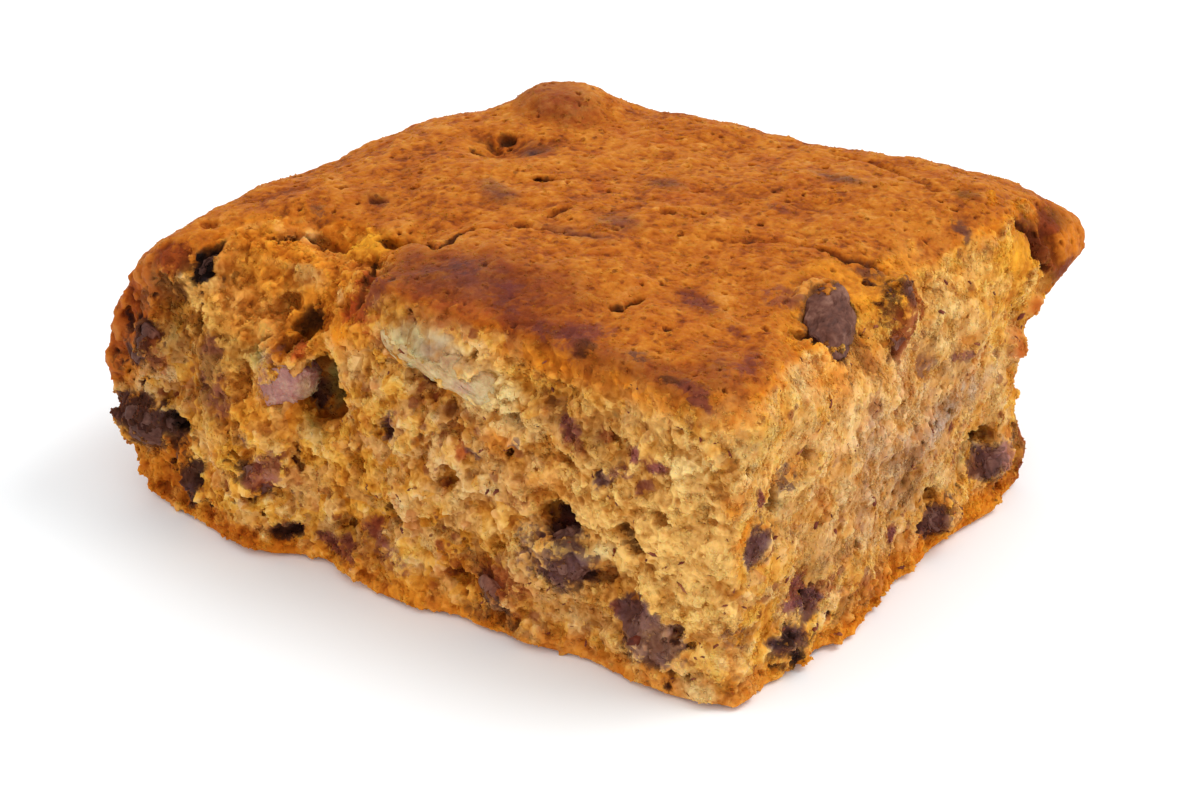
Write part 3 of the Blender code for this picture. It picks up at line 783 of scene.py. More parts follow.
@dataclass
class Form:
    """The smooth form of the bread, that everything else is measured from."""

    voxel: float = 0.38
    rounds: int = 40
    fill_grow: float = 0.5
    piece: bpy.types.Object = field(init=False)
    tree: BVHTree = field(init=False)
    baked_in: dict[str, BVHTree] = field(default_factory=dict)

    def build(self, frame: dict) -> bpy.types.Object:
        """Makes the form, with the pockets of the pieces in it filled flush.


        Returns:
            A fine mesh of the form, without any crumb yet.
        """
        body = merged_copy(frame["nodes"]["bread"])
        for name, node in frame["nodes"].items():
            if name == "bread":
                continue
            filling = merged_copy(node)
            spare = bpy.data.meshes.new("filling")
            filling.normal_update()
            grown = [v.co + v.normal * self.fill_grow * MM for v in filling.verts]
            for vertex, place in zip(filling.verts, grown):
                vertex.co = place
            filling.to_mesh(spare)
            filling.free()
            body.from_mesh(spare)
            bpy.data.meshes.remove(spare)
        self.piece = new_piece("bread_form", body)
        fuse(self.piece, self.voxel)
        smooth(self.piece, self.rounds)
        self.tree = BVHTree.FromObject(self.piece, bpy.context.evaluated_depsgraph_get())
        return self.piece

    def under(self, cloud: Cloud) -> tuple[Cloud, np.ndarray]:
        """Finds the form under each vertex.

        Args:
            cloud: The vertices of any piece.

        Returns:
            The same places with the form's directions, and the height of each above the form.
        """
        metres = (cloud.places + NEAR_CORNER) * MM
        found = [self.tree.find_nearest(place)[:2] for place in metres.tolist()]
        below = np.array([tuple(place) for place, _ in found])
        normals = np.array([tuple(normal) for _, normal in found])
        return Cloud(cloud.places, normals), ((metres - below) * normals).sum(axis=1) / MM

    def remember(self, kind: str, pieces: Sequence[bpy.types.Object]) -> None:
        """Takes note of where the baked-in pieces of a kind are.

        Args:
            kind: The kind, "chocolate" or "banana".
            pieces: The pieces.
        """
        together = bmesh.new()
        for piece in pieces:
            together.from_mesh(piece.data)
        self.baked_in[kind] = BVHTree.FromBMesh(together)
        together.free()

    def distance_to(self, kind: str, cloud: Cloud, reach: float = 2.5) -> np.ndarray:
        """Distance from each vertex to the nearest baked-in piece of a kind.

        Args:
            kind: The kind, "chocolate" or "banana".
            cloud: The vertices.
            reach: The largest distance that is looked at.

        Returns:
            The distances, less than 0 inside a piece and the reach where none is near.
        """
        distances = np.full(len(cloud.places), reach)
        if kind not in self.baked_in:
            return distances
        tree = self.baked_in[kind]
        for at, place in enumerate(((cloud.places + NEAR_CORNER) * MM).tolist()):
            surface, normal, _, distance = tree.find_nearest(place, reach * MM)
            if surface is not None:
                outside = (Vector(place) - surface).dot(normal) > 0.0
                distances[at] = distance / MM if outside else -distance / MM
        return distances

    @staticmethod
    def crust_share(cloud: Cloud) -> np.ndarray:
        """How far each vertex belongs to the crust.

        Args:
            cloud: The vertices, with the directions of the form.

        Returns:
            Less than 0 on the cuts, more on baked skin, and near 0 along the edge between them.
        """
        x, y, z = cloud.normals.T
        leaning = np.where(z < 0.0, np.hypot(x, y).clip(0.5, 1.0), 1.0)
        share = 0.5 - np.maximum(-y, x) / leaning
        for mark in SKIN:
            share += 1.3 * mark.amount * mark.share(cloud, ragged=0.25, soft=0.8)
        return share - 1.4 * TORN.share(cloud, ragged=0.12, soft=0.5)


@dataclass
class Painter:
    """Stores on each piece what its finish needs: crust, browning, hollows, washes and stains; the hollows are where
    the finish paints shade, and some washes and stains are painted shade in holes and cracks.
    """

    form: Form
    even_rounds: int = 24
    halo_reach: float = 1.3
    halo_strength: float = 0.62
    wash_edge: tuple[float, float] = (0.4, 1.4)
    stain_edge: tuple[float, float] = (0.6, 0.7)

    def paint(self, piece: bpy.types.Object, on_form: Cloud | None = None, own_relief: bool = True) -> None:
        """Paints a piece.

        Args:
            piece: A piece whose mesh is finished, at least in its broad shape.
            on_form: Its places with the form's directions, where they are known.
            own_relief: Whether hollows are read from the piece's own mesh too, not only from its height.
        """
        cloud = Cloud.read(piece)
        found, height = self.form.under(cloud)
        on_form = on_form or found
        # How sunk each vertex is; the bread's finish paints shade into the hollows and light onto the ridges from it.
        cavity = 0.4 * height.clip(-0.9, 0.6)
        if own_relief:
            even = placed("even", piece.data.copy())
            smooth(even, self.even_rounds)
            level = Cloud.read(even)
            bpy.data.objects.remove(even)
            relief = ((cloud.places - level.places) * level.normals).sum(axis=1)
            cavity = 0.3 * height.clip(-0.9, 0.6) + relief.clip(-0.6, 0.5)
        share = self.form.crust_share(on_form)
        ragged = 0.20 * swell(cloud.places, 1.6, 12.0) + 0.16 * swell(cloud.places, 0.7, 13.0)
        band = 0.10 * swell(cloud.places, 3.4, 14.0) + 0.10 * swell(cloud.places, 1.2, 15.0)
        self._store(piece, "crust", smooth_step(share + ragged, -0.06, 0.08))
        low = smooth_step(cloud.places[:, 2] + 14.0 * band, 4.4, 1.0)
        bake = np.maximum(smooth_step(share + band, -0.46, -0.04), 0.8 * low)
        for mark in TOASTED:
            bake = np.maximum(bake, mark.amount * mark.share(on_form, ragged=0.5, soft=0.8))
        self._store(piece, "bake", bake)
        self._store(piece, "cavity", cavity)
        smear = self.form.distance_to("chocolate", on_form) + 0.6 * on_form.wobble
        halo = (Tint.CHOCOLATE, self.halo_strength * smooth_step(smear, self.halo_reach, -0.1))
        self._lay(piece, "wash", self._layers(WASHES, on_form, *self.wash_edge))
        # Umber along the cracks, stronger where they are deeper: painted shade in them.
        cracks = np.max([crease.depth * crease.share(on_form) for crease in CREASES], axis=0)
        cracks = (Tint.UMBER, 0.9 * smooth_step(cracks, 0.3, 1.2))
        self._lay(piece, "stain", [halo, *self._layers(STAINS, on_form, *self.stain_edge), cracks])

    @staticmethod
    def _layers(table: MarkTable, cloud: Cloud, ragged: float, soft: float) -> list:
        """Works out a table's marks: pairs of a colour and each vertex's share of it.

        Args:
            table: The marks of each colour and face.
            cloud: The vertices, with the directions of the form.
            ragged: How uneven the outlines are.
            soft: How softly the marks fade out.

        Returns:
            The pairs, in order.
        """
        layers = []
        for tint, faces in table.items():
            for side, rows in faces.items():
                layers += [(tint, mark.amount * mark.share(cloud, ragged, soft)) for mark in marks(side, *rows)]
        return layers

    @staticmethod
    def _lay(piece: bpy.types.Object, name: str, layers: list) -> None:
        """Lays colours over each other, and stores the result with the share that covers the piece.

        Args:
            piece: The piece.
            name: What the result is stored as.
            layers: Pairs of a colour and a share.
        """
        tint, share = np.zeros((len(piece.data.vertices), 3)), np.zeros(len(piece.data.vertices))
        for colour, part in layers:
            total = part + share * (1.0 - part)
            tint += (np.array(linear(colour.value)[:3]) - tint) * (part / np.maximum(total, 1e-6))[:, None]
            share = total
        colours = piece.data.attributes.new(name, "FLOAT_COLOR", "POINT")
        colours.data.foreach_set("color", np.column_stack((tint, share)).astype(np.float32).ravel())

    @staticmethod
    def _store(piece: bpy.types.Object, name: str, values: np.ndarray) -> None:
        """Keeps one number a vertex under a name."""
        kept = piece.data.attributes.new(name, "FLOAT", "POINT")
        kept.data.foreach_set("value", values.astype(np.float32))


@dataclass
class BreadBody:
    """The bread itself: torn crumb on the cuts and browned crust elsewhere."""

    form: Form
    painter: Painter
    rng: np.random.Generator
    right_calm: float = 0.34
    corner_calm: float = 0.3
    lip_calm: float = 0.5
    pore_count: int = 260
    pore_radius: float = 0.55
    pore_floor: float = 1.5
    grain_count: int = 10000
    grain_radius: float = 0.38
    grain_floor: float = 0.6
    skin_voxel: float = 0.2
    triangles: int = 196000

    def calm(self, cloud: Cloud) -> np.ndarray:
        """How strongly torn the crumb is: less on the moister right cut, by the corner and under the top crust.

        Args:
            cloud: The vertices.

        Returns:
            Numbers from 0 to 1.
        """
        x, _, z = cloud.places.T
        toward_right = smooth_step(cloud.normals[:, 0] + cloud.normals[:, 1], -0.2, 0.6) * smooth_step(z, 3.0, 8.0)
        corner = self.corner_calm * smooth_step(x, -26.0, -6.0)
        lip = self.lip_calm * smooth_step(z, 31.0, 35.0) * (1.0 - TORN.share(cloud, ragged=0.12))
        smeared = BANANA_RIM.amount * BANANA_RIM.share(cloud, soft=0.8)
        calmed = (1.0 - corner) * (1.0 - lip) * (1.0 - smeared)
        return np.minimum(1.0 - (1.0 - self.right_calm) * toward_right, calmed)

    def relief(self, piece: bpy.types.Object) -> None:
        """Raises the large clumps of the cuts, sinks the holes and cracks, and uncovers the baked-in pieces.

        Args:
            piece: The bread, still smooth.
        """
        cloud = Cloud.read(piece)
        crumb = smooth_step(self.form.crust_share(cloud), 0.1, -0.14)
        rest = smooth_step(cloud.places[:, 2], 0.2, 2.2)
        uneven = warped(cloud.places, 5.0, 1.8, 4.0)
        crumbly = warped(cloud.places, 1.6, 0.5, 5.0)
        ledges = 0.9 * clump(uneven, 6.0, 5.0) + 0.8 * blocks(crumbly, 2.9, 6.0) + 0.45 * blocks(crumbly, 1.5, 7.0)
        height = (ledges - 0.35) * crumb * self.calm(cloud)
        crust = 0.34 * swell(cloud.places, 4.6, 9.0) + 0.14 * clump(uneven, 2.4, 9.0)
        crust += 0.9 * blocks(crumbly, 2.2, 10.0) * SKIN[0].share(cloud, soft=1.4)
        height = (height + (1.0 - crumb) * crust) * rest
        for hole in HOLES:
            height -= hole.amount * hole.share(cloud, soft=0.8)
        for crease in CREASES:
            height -= crease.depth * crease.share(cloud)
        nearest = np.minimum(self.form.distance_to("chocolate", cloud), self.form.distance_to("banana", cloud))
        ragged = nearest + 0.35 * swell(cloud.places, 1.7, 26.0)
        height -= 1.3 * smooth_step(ragged, 0.25, -0.2)
        cloud.places += cloud.normals * height[:, None]
        cloud.write(piece)

    def pores(self, piece: bpy.types.Object, weights: np.ndarray) -> None:
        """Cuts bubbles into the crumb.

        Args:
            piece: The bread.
            weights: How likely they are, one number a vertex.
        """
        places, normals = Scatter(piece, self.rng).draw(self.pore_count, weights)
        radii = self.rng.lognormal(math.log(self.pore_radius), 0.42, self.pore_count).clip(0.3, 1.6)
        sizes = radii[:, None] * self.rng.uniform(0.55, 1.7, (self.pore_count, 3))
        middles = places - normals * (radii * self.rng.uniform(-0.45, 0.35, self.pore_count))[:, None]
        keep = places[:, 2] > self.pore_floor
        cutter = scatter("pore_cutter", chip(self.rng), blob_moves(middles[keep], sizes[keep], self.rng))
        fuse(cutter, self.skin_voxel)
        modify(piece, "BOOLEAN", operation="DIFFERENCE", object=cutter, solver="MANIFOLD")
        bpy.data.objects.remove(cutter)

    def grains(self, piece: bpy.types.Object, weights: np.ndarray) -> bpy.types.Object:
        """Scatters the grains that the crumb's skin is made of.

        Args:
            piece: The bread.
            weights: How likely they are, one number a vertex.

        Returns:
            The grains, as one piece.
        """
        places, normals = Scatter(piece, self.rng).draw(self.grain_count, weights)
        radii = self.rng.lognormal(math.log(self.grain_radius), 0.4, self.grain_count).clip(0.2, 0.9)
        sizes = radii[:, None] * self.rng.uniform(0.6, 1.4, (self.grain_count, 3))
        lift = radii * self.rng.uniform(-0.8, 0.1, self.grain_count)
        middles = places + normals * lift[:, None]
        keep = middles[:, 2] > self.grain_floor
        return scatter("grains", chip(self.rng), blob_moves(middles[keep], sizes[keep], self.rng))

    def roughen(self, piece: bpy.types.Object) -> Cloud:
        """Adds the finest relief: small pits in the crust and crumbly roughness on the cuts.

        Args:
            piece: The fused bread.

        Returns:
            Its places, with the directions of the form.
        """
        cloud = Cloud.read(piece)
        on_form, _ = self.form.under(cloud)
        crust = smooth_step(self.form.crust_share(on_form), -0.05, 0.1)
        uneven = warped(cloud.places, 1.4, 0.5, 16.0)
        pits = smooth_step(clump(uneven, 2.3, 17.0) + 0.3 * swell(cloud.places, 0.9, 20.0), 0.66, 0.9)
        grain = 0.1 * clump(uneven, 1.2, 18.0) + 0.1 * blocks(uneven, 0.75, 20.0)
        grain += 0.1 * swell(cloud.places, 2.0, 19.0)
        crumb = 0.16 * blocks(uneven, 0.8, 21.0) + 0.05 * swell(cloud.places, 0.45, 22.0)
        height = crust * (grain - 0.55 * pits) + (1.0 - crust) * self.calm(on_form) * crumb
        height *= smooth_step(cloud.places[:, 2], 0.1, 0.8)
        cloud.places += cloud.normals * height[:, None]
        cloud.write(piece)
        return Cloud(cloud.places, on_form.normals)

    def build(self) -> bpy.types.Object:
        """Makes the bread.

        Returns:
            The finished mesh.
        """
        piece = placed("bread_crumb_and_crust", self.form.piece.data.copy())
        self.relief(piece)
        cloud = Cloud.read(self.form.piece)
        crumb = smooth_step(self.form.crust_share(cloud), 0.05, -0.1)
        patchy = 0.35 + 0.65 * smooth_step(swell(cloud.places, 3.2, 30.0), -0.25, 0.25)
        crumb *= patchy * self.calm(cloud)
        for hole in HOLES:
            crumb *= 1.0 - 0.9 * hole.share(cloud)
        LOG.info("form and relief: %d vertices", len(crumb))
        loose = self.grains(piece, crumb)
        self.pores(piece, crumb)
        join(piece, loose)
        fuse(piece, self.skin_voxel)
        on_form = self.roughen(piece)
        LOG.info("skin: %d vertices", len(piece.data.vertices))
        self.painter.paint(piece, on_form)
        modify(piece, "DECIMATE", ratio=self.triangles / (2.0 * len(piece.data.polygons)))
        LOG.info("bread: %d faces", len(piece.data.polygons))
        piece.data.shade_smooth()
        return piece


@dataclass
class Crumbs:
    """Small loose-looking crumbs that lie half sunk in a surface."""

    name: str
    count: int
    sizes: tuple[float, float]
    sunk: tuple[float, float]
    painter: Painter
    rng: np.random.Generator

    def build(self, ground: bpy.types.Object, weights: np.ndarray) -> bpy.types.Object:
        """Scatters them in drifts.

        Args:
            ground: What they lie on.
            weights: How likely they are there, one number a vertex.

        Returns:
            The piece.
        """
        cloud = Cloud.read(ground)
        drifts = 0.25 + smooth_step(swell(cloud.places, 2.4, 33.0), -0.2, 0.3)
        weights = weights * drifts * smooth_step(cloud.places[:, 2], 0.4, 1.2)
        places, normals = Scatter(ground, self.rng).draw(self.count, weights)
        low, high = self.sizes
        radii = low + (high - low) * self.rng.beta(1.5, 3.0, self.count)
        sizes = radii[:, None] * self.rng.uniform(0.6, 1.4, (self.count, 3))
        middles = places - normals * (radii * self.rng.uniform(*self.sunk, self.count))[:, None]
        piece = scatter(self.name, chip(self.rng), blob_moves(middles, sizes, self.rng), sharp=True)
        self.painter.paint(piece, own_relief=False)
        LOG.info("%s: %d faces", self.name, len(piece.data.polygons))
        return piece


@dataclass
class Flecks:
    """Dark threads and seeds of banana in the crumb."""

    count: int
    rng: np.random.Generator
    length: float = 0.34

    def build(self, bread: bpy.types.Object) -> bpy.types.Object:
        """Lays the flecks in the cuts, most of them towards the corner between them.

        Args:
            bread: What they lie in.

        Returns:
            The flecks, as one piece.
        """
        cloud = Cloud.read(bread)
        x, y, z = cloud.places.T
        spread = 0.15 + smooth_step(swell(cloud.places, 6.0, 35.0), -0.1, 0.35)
        crumb = smooth_step(stored_values(bread, "crust"), 0.05, 0.0)
        weights = crumb * spread * smooth_step(z, 0.8, 2.0) * smooth_step(x, -66.0, -30.0)
        places, normals = Scatter(bread, self.rng).draw(self.count, weights)
        lengths = self.rng.lognormal(math.log(self.length), 0.45, self.count).clip(0.15, 1.1)
        moves = []
        for place, normal, length in zip(places, normals, lengths):
            lying = Vector(normal).cross(Vector(self.rng.normal(size=3))).normalized()
            lying = (lying + Vector(normal) * self.rng.uniform(-0.3, 0.3)).normalized()
            girth = length * self.rng.uniform(0.25, 0.5)
            size = Vector((girth, girth * self.rng.uniform(0.5, 1.0), length)) * MM
            middle = Vector((place + normal * self.rng.uniform(-0.14, -0.02) + NEAR_CORNER) * MM)
            moves.append(Matrix.LocRotScale(middle, lying.to_track_quat("Z", "Y"), size))
        fleck = ball()
        for vertex in fleck.verts:
            vertex.co *= 1.0 + 0.5 * noise.noise(vertex.co * 1.9)
        piece = scatter("banana_threads", fleck, np.array([tuple(map(tuple, move)) for move in moves]))
        LOG.info("banana_threads: %d faces", len(piece.data.polygons))
        return piece


class Socket:
    """A node's output that takes part in Python arithmetic."""

    def __init__(self, graph: Graph, output: bpy.types.NodeSocket) -> None:
        """Wraps an output of a node in a graph."""
        self.graph = graph
        self.output = output

    def _math(self, operation: str, *values: object) -> Socket:
        """Adds a Math node."""
        return self.graph.node("ShaderNodeMath", {"operation": operation}, dict(enumerate(values)))

    def __add__(self, other: object) -> Socket:
        """Adds."""
        return self._math("ADD", self, other)

    __radd__ = __add__

    def __sub__(self, other: object) -> Socket:
        """Subtracts."""
        return self._math("SUBTRACT", self, other)

    def __rsub__(self, other: object) -> Socket:
        """Subtracts from another."""
        return self._math("SUBTRACT", other, self)

    def __mul__(self, other: object) -> Socket:
        """Multiplies."""
        return self._math("MULTIPLY", self, other)

    def step(self, low: float, high: float) -> Socket:
        """Goes smoothly from 0 at low to 1 at high, as smooth_step does.

        Args:
            low: Where the result is still 0.
            high: Where it reaches 1. It may be less than low.

        Returns:
            The eased value.
        """
        settings = {"interpolation_type": "SMOOTHSTEP"}
        flipped = low > high
        ends = {"Value": self, "From Min": min(low, high), "From Max": max(low, high)}
        eased = self.graph.node("ShaderNodeMapRange", settings, ends)
        return 1.0 - eased if flipped else eased


class Graph:
    """The nodes of a new material with one Principled shader."""

    def __init__(self, name: str) -> None:
        """Starts a material.

        Args:
            name: The material's name.
        """
        self.material = bpy.data.materials.new(name)
        self.material.use_nodes = True
        self.tree = self.material.node_tree
        self.shader = self.tree.nodes["Principled BSDF"]

    def node(self, kind: str, settings: dict, inputs: dict, output: object = 0) -> Socket:
        """Adds a node.

        Args:
            kind: Its type.
            settings: Its properties, set first. Stops of a ramp are pairs of place and colour.
            inputs: Values or sockets for its inputs, by name or number.
            output: The output to give back, by name or number.

        Returns:
            That output.
        """
        made = self.tree.nodes.new(kind)
        for name, value in settings.items():
            if name == "stops":
                self._set_stops(made.color_ramp.elements, value)
            else:
                setattr(made, name, value)
        for key, value in inputs.items():
            self.feed(made.inputs[key], value)
        return Socket(self, made.outputs[output])

    @staticmethod
    def _set_stops(elements: bpy.types.ColorRampElements, stops: Sequence[tuple]) -> None:
        """Gives a ramp its stops.

        Args:
            elements: The ramp's stops so far.
            stops: Pairs of place and colour.
        """
        while len(elements) < len(stops):
            elements.new(0.5)
        for element, (place, colour) in zip(elements, stops):
            element.position = place
            element.color = colour

    def feed(self, target: bpy.types.NodeSocket, value: object) -> None:
        """Links a socket to an input, or sets its value.

        Args:
            target: The input.
            value: A socket or a constant.
        """
        if isinstance(value, Socket):
            self.tree.links.new(value.output, target)
        else:
            target.default_value = value

    def set(self, **inputs: object) -> None:
        """Sets inputs of the shader, named with underscores for spaces."""
        for name, value in inputs.items():
            self.feed(self.shader.inputs[name.replace("_", " ")], value)

    def stored(self, name: str, output: str = "Fac") -> Socket:
        """A value that the mesh stores."""
        return self.node("ShaderNodeAttribute", {"attribute_name": name}, {}, output)

    def painted(self, name: str) -> tuple[Socket, Socket]:
        """A colour that the mesh stores, and the share of it that covers."""
        return self.stored(name, "Color"), self.stored(name, "Alpha")

    def dabbed(self, tone: Socket, low: float, rise: float, share: float, colour: Socket) -> Socket:
        """Lays the painted stains over a colour.

        Args:
            tone: How bright the surface is, from 0 to 1.
            low: How bright a stain is where the tone is 0.
            rise: How much brighter it is where the tone is 1.
            share: How strongly the stains cover.
            colour: What they lie on.

        Returns:
            The stained colour.
        """
        stain, cover = self.painted("stain")
        return self.mix(cover * share, colour, self.mix(1.0, stain, self.grey(low + tone * rise), "MULTIPLY"))

    def pattern(self, kind: str, size: float, output: object, **inputs: float) -> Socket:
        """A texture with features of a size in millimetres, fixed to the piece."""
        place = self.node("ShaderNodeTexCoord", {}, {}, "Object")
        return self.node(kind, {}, {"Vector": place, "Scale": 1.0 / (size * MM), **inputs}, output)

    def grain(self, size: float) -> Socket:
        """Noise from 0 to 1 with grains of a size in millimetres."""
        return self.pattern("ShaderNodeTexNoise", size, 0, Detail=3.0, Roughness=0.55)

    def cells(self, size: float) -> Socket:
        """Distance to the nearest of random points that lie about a size in millimetres apart."""
        return self.pattern("ShaderNodeTexVoronoi", size, "Distance")

    def patch(self, size: float) -> Socket:
        """A random grey from 0 to 1 for each patch of about a size in millimetres."""
        return self.pattern("ShaderNodeTexVoronoi", size, "Color")

    def broken(self, share: Socket) -> Socket:
        """A share from 0 to 1, broken up into ragged patches the size of crumbs.

        Args:
            share: The even share.

        Returns:
            The broken share.
        """
        ragged = share + (self.grain(0.6) - 0.5) + (self.grain(2.0) - 0.5) * 0.6
        ragged = ragged + (self.patch(0.8) - 0.5) * 0.7
        return ragged.step(0.18, 0.68) * (0.4 + share * 0.7)

    def ramp(self, value: Socket, places: Sequence[float], colours: Sequence[str]) -> Socket:
        """Turns a value into a colour, with one colour at each place along a ramp."""
        stops = [(place, linear(colour)) for place, colour in zip(places, colours)]
        return self.node("ShaderNodeValToRGB", {"stops": stops}, {"Fac": value}, "Color")

    def grey(self, value: Socket) -> Socket:
        """A grey of a value."""
        return self.node("ShaderNodeCombineColor", {}, {"Red": value, "Green": value, "Blue": value})

    def mix(self, share: object, first: object, second: object, blend: str = "MIX") -> Socket:
        """Mixes two colours.

        Args:
            share: How much of the second.
            first: A colour or socket.
            second: Another.
            blend: The way of blending.

        Returns:
            The mixed colour.
        """
        first, second = (linear(c) if isinstance(c, str) else c for c in (first, second))
        settings = {"data_type": "RGBA", "blend_type": blend}
        return self.node("ShaderNodeMix", settings, {0: share, 6: first, 7: second}, 2)

    def bump(self, height: Socket, depth: float) -> Socket:
        """Relief finer than the mesh, of a depth in millimetres."""
        return self.node("ShaderNodeBump", {}, {"Strength": 1.0, "Distance": depth * MM, "Height": height})


@dataclass(frozen=True)
class BreadFinish:
    """Torn crumb, from pale ridges to orange-brown hollows, and browned crust, by what the mesh stores; the hollows'
    darkness and the ridges' paleness are partly painted shade and painted light.
    """

    name: str = "banana_bread_crumb_and_crust"
    tones: tuple[float, ...] = (0.1, 0.28, 0.42, 0.55, 0.75)
    golden: tuple[str, ...] = ("6a2f05", "a65c0e", "d08a2c", "e4a948", "f6d488")
    tan: tuple[str, ...] = ("5c3210", "9c6128", "c78e4a", "dda964", "f2d49c")
    toasted: tuple[str, ...] = ("561f03", "9a4708", "c56a12", "da861f", "efb050")
    baked_tones: tuple[float, ...] = (0.26, 0.4, 0.5, 0.6, 0.78)
    baked: tuple[str, ...] = ("431903", "863d08", "ae5c12", "c27521", "da984a")
    # Painted shade: along this ramp the washes turn brown in the hollows.
    hollow_shade_tones: tuple[float, ...] = (0.14, 0.34, 0.58)
    depth: tuple[str, ...] = ("6e4424", "bc9c74", "ffffff")

    def make(self) -> bpy.types.Material:
        """Builds the material.

        Returns:
            The material.
        """
        graph = Graph(self.name)
        crust, bake, cavity = graph.stored("crust"), graph.stored("bake"), graph.stored("cavity")
        stain, stain_share = graph.painted("stain")
        wash, wash_share = graph.painted("wash")
        patches, mottle, fine = graph.grain(8.0), graph.grain(2.0), graph.grain(0.6)
        # The tone is partly the crumb's own random colour and partly painted shade and light: the stored cavity
        # darkens the hollows and pales the ridges.
        tone = patches * 0.26 + mottle * 0.32 + fine * 0.2 + graph.patch(1.8) * 0.16 + cavity * 0.42
        golden, tan = graph.ramp(tone, self.tones, self.golden), graph.ramp(tone, self.tones, self.tan)
        hue = graph.grain(4.0) * 0.6 + graph.patch(2.4) * 0.4
        crumb = graph.mix(hue.step(0.42, 0.62), golden, tan)
        specks = (graph.cells(1.4) + (graph.grain(0.5) - 0.5) * 0.3).step(0.24, 0.12)
        crumb = graph.mix(specks * graph.grain(5.0).step(0.48, 0.6) * 0.8, crumb, "7a3620")
        spots = (graph.cells(2.8) + (graph.grain(0.8) - 0.5) * 0.34).step(0.3, 0.18)
        crumb = graph.mix(spots * graph.grain(7.0).step(0.38, 0.5) * 0.85, crumb, "864220")
        pinkish = graph.mix(1.0, crumb, "e0b0a8", "MULTIPLY")
        crumb = graph.mix((graph.grain(3.0) + graph.patch(1.3) * 0.3).step(0.68, 0.84) * 0.6, crumb, pinkish)
        toasted = graph.ramp(tone, self.tones, self.toasted)
        # On the crust the cavity darkens the pits and hollows too: painted shade.
        baked_tone = graph.grain(9.0) * 0.24 + graph.grain(2.6) * 0.34 + graph.grain(1.1) * 0.22
        baked_tone = baked_tone + fine * 0.14 + graph.patch(0.8) * 0.1 + cavity * 0.55
        baked = graph.ramp(baked_tone, self.baked_tones, self.baked)
        dots = (graph.cells(1.5) + (graph.grain(0.6) - 0.5) * 0.5).step(0.28, 0.1)
        baked = graph.mix(dots * graph.grain(3.0).step(0.35, 0.6) * 0.7, baked, "6b2d08")
        baked = graph.mix(graph.grain(4.5).step(0.52, 0.72) * 0.4, baked, graph.mix(1.0, baked, "d89a8a", "MULTIPLY"))
        colour = graph.mix(crust, graph.mix(bake, crumb, toasted), baked)
        # Painted shade: the washes turn brown in the hollows.
        shaded_wash = graph.mix(1.0, wash, graph.ramp(tone, self.hollow_shade_tones, self.depth), "MULTIPLY")
        colour = graph.mix(wash_share * (0.15 + mottle * 1.7), colour, shaded_wash)
        # Stains are darker in the hollows, lighter on the ridges, and spread further into the hollows: painted shade
        # and light.
        even = graph.mix(1.0, stain, graph.grey(0.35 + tone * 1.3), "MULTIPLY")
        soaked = graph.mix(1.0, graph.mix(1.0, stain, colour, "MULTIPLY"), (1.9, 4.4, 18.0, 1.0), "MULTIPLY")
        colour = graph.mix(graph.broken(stain_share - cavity * 0.35), colour, graph.mix(0.55, even, soaked))
        height = fine * 0.5 + graph.grain(0.3) * 0.2 - crust * (graph.cells(0.6) * 0.3 + dots * 0.5)
        graph.set(
            Base_Color=colour,
            Roughness=0.8 - crust * 0.2,
            Subsurface_Weight=0.35,
            Subsurface_Radius=(1.0, 0.45, 0.18),
            Subsurface_Scale=0.001,
            Specular_IOR_Level=0.07,
            Normal=graph.bump(height, 0.2),
        )
        return graph.material


@dataclass(frozen=True)
class ChocolateFinish:
    """Dull dark chocolate with a bloom."""

    name: str = "dull_dark_chocolate"
    tones: tuple[float, ...] = (0.3, 0.5, 0.68)
    shades: tuple[str, ...] = ("3a1e16", "643b2e", "8c6250")

    def make(self) -> bpy.types.Material:
        """Builds the material.

        Returns:
            The material.
        """
        graph = Graph(self.name)
        tone = graph.grain(2.6) * 0.6 + graph.grain(0.6) * 0.4
        colour = graph.ramp(tone, self.tones, self.shades)
        graph.set(
            Base_Color=graph.dabbed(tone, 0.3, 1.2, 0.55, colour),
            Specular_IOR_Level=0.2,
            Roughness=0.5 + graph.grain(1.2) * 0.2,
            Normal=graph.bump(graph.grain(0.8), 0.12),
        )
        return graph.material


@dataclass(frozen=True)
class BananaFinish:
    """Baked banana: moist and translucent, in three shades that vary at random over it."""

    name: str = "moist_baked_banana"
    shades: tuple[str, ...] = ("a8794a", "c4a06a", "d8bf8c")
    tones: tuple[float, ...] = (0.34, 0.5, 0.66)

    def make(self) -> bpy.types.Material:
        """Builds the material.

        Returns:
            The material.
        """
        graph = Graph(self.name)
        tone = graph.grain(2.6) * 0.6 + graph.grain(0.7) * 0.4
        colour = graph.ramp(tone, self.tones, self.shades)
        graph.set(
            Base_Color=graph.dabbed(tone, 0.45, 1.1, 0.8, colour),
            Roughness=0.4,
            Subsurface_Weight=0.4,
            Subsurface_Scale=0.001,
            Normal=graph.bump(graph.grain(0.9) + graph.grain(0.4) * 0.5, 0.35),
        )
        return graph.material


@dataclass(frozen=True)
class FleckFinish:
    """Dark red-brown banana threads."""

    name: str = "dark_banana_thread"
    tones: tuple[float, ...] = (0.3, 0.5, 0.7)
    shades: tuple[str, ...] = ("4c1d12", "74331f", "9e5c3a")

    def make(self) -> bpy.types.Material:
        """Builds the material.

        Returns:
            The material.
        """
        graph = Graph(self.name)
        graph.set(
            Base_Color=graph.ramp(graph.grain(1.8), self.tones, self.shades),
            Roughness=0.6,
            Specular_IOR_Level=0.2,
            Normal=graph.bump(graph.grain(0.4), 0.15),
        )
        return graph.material


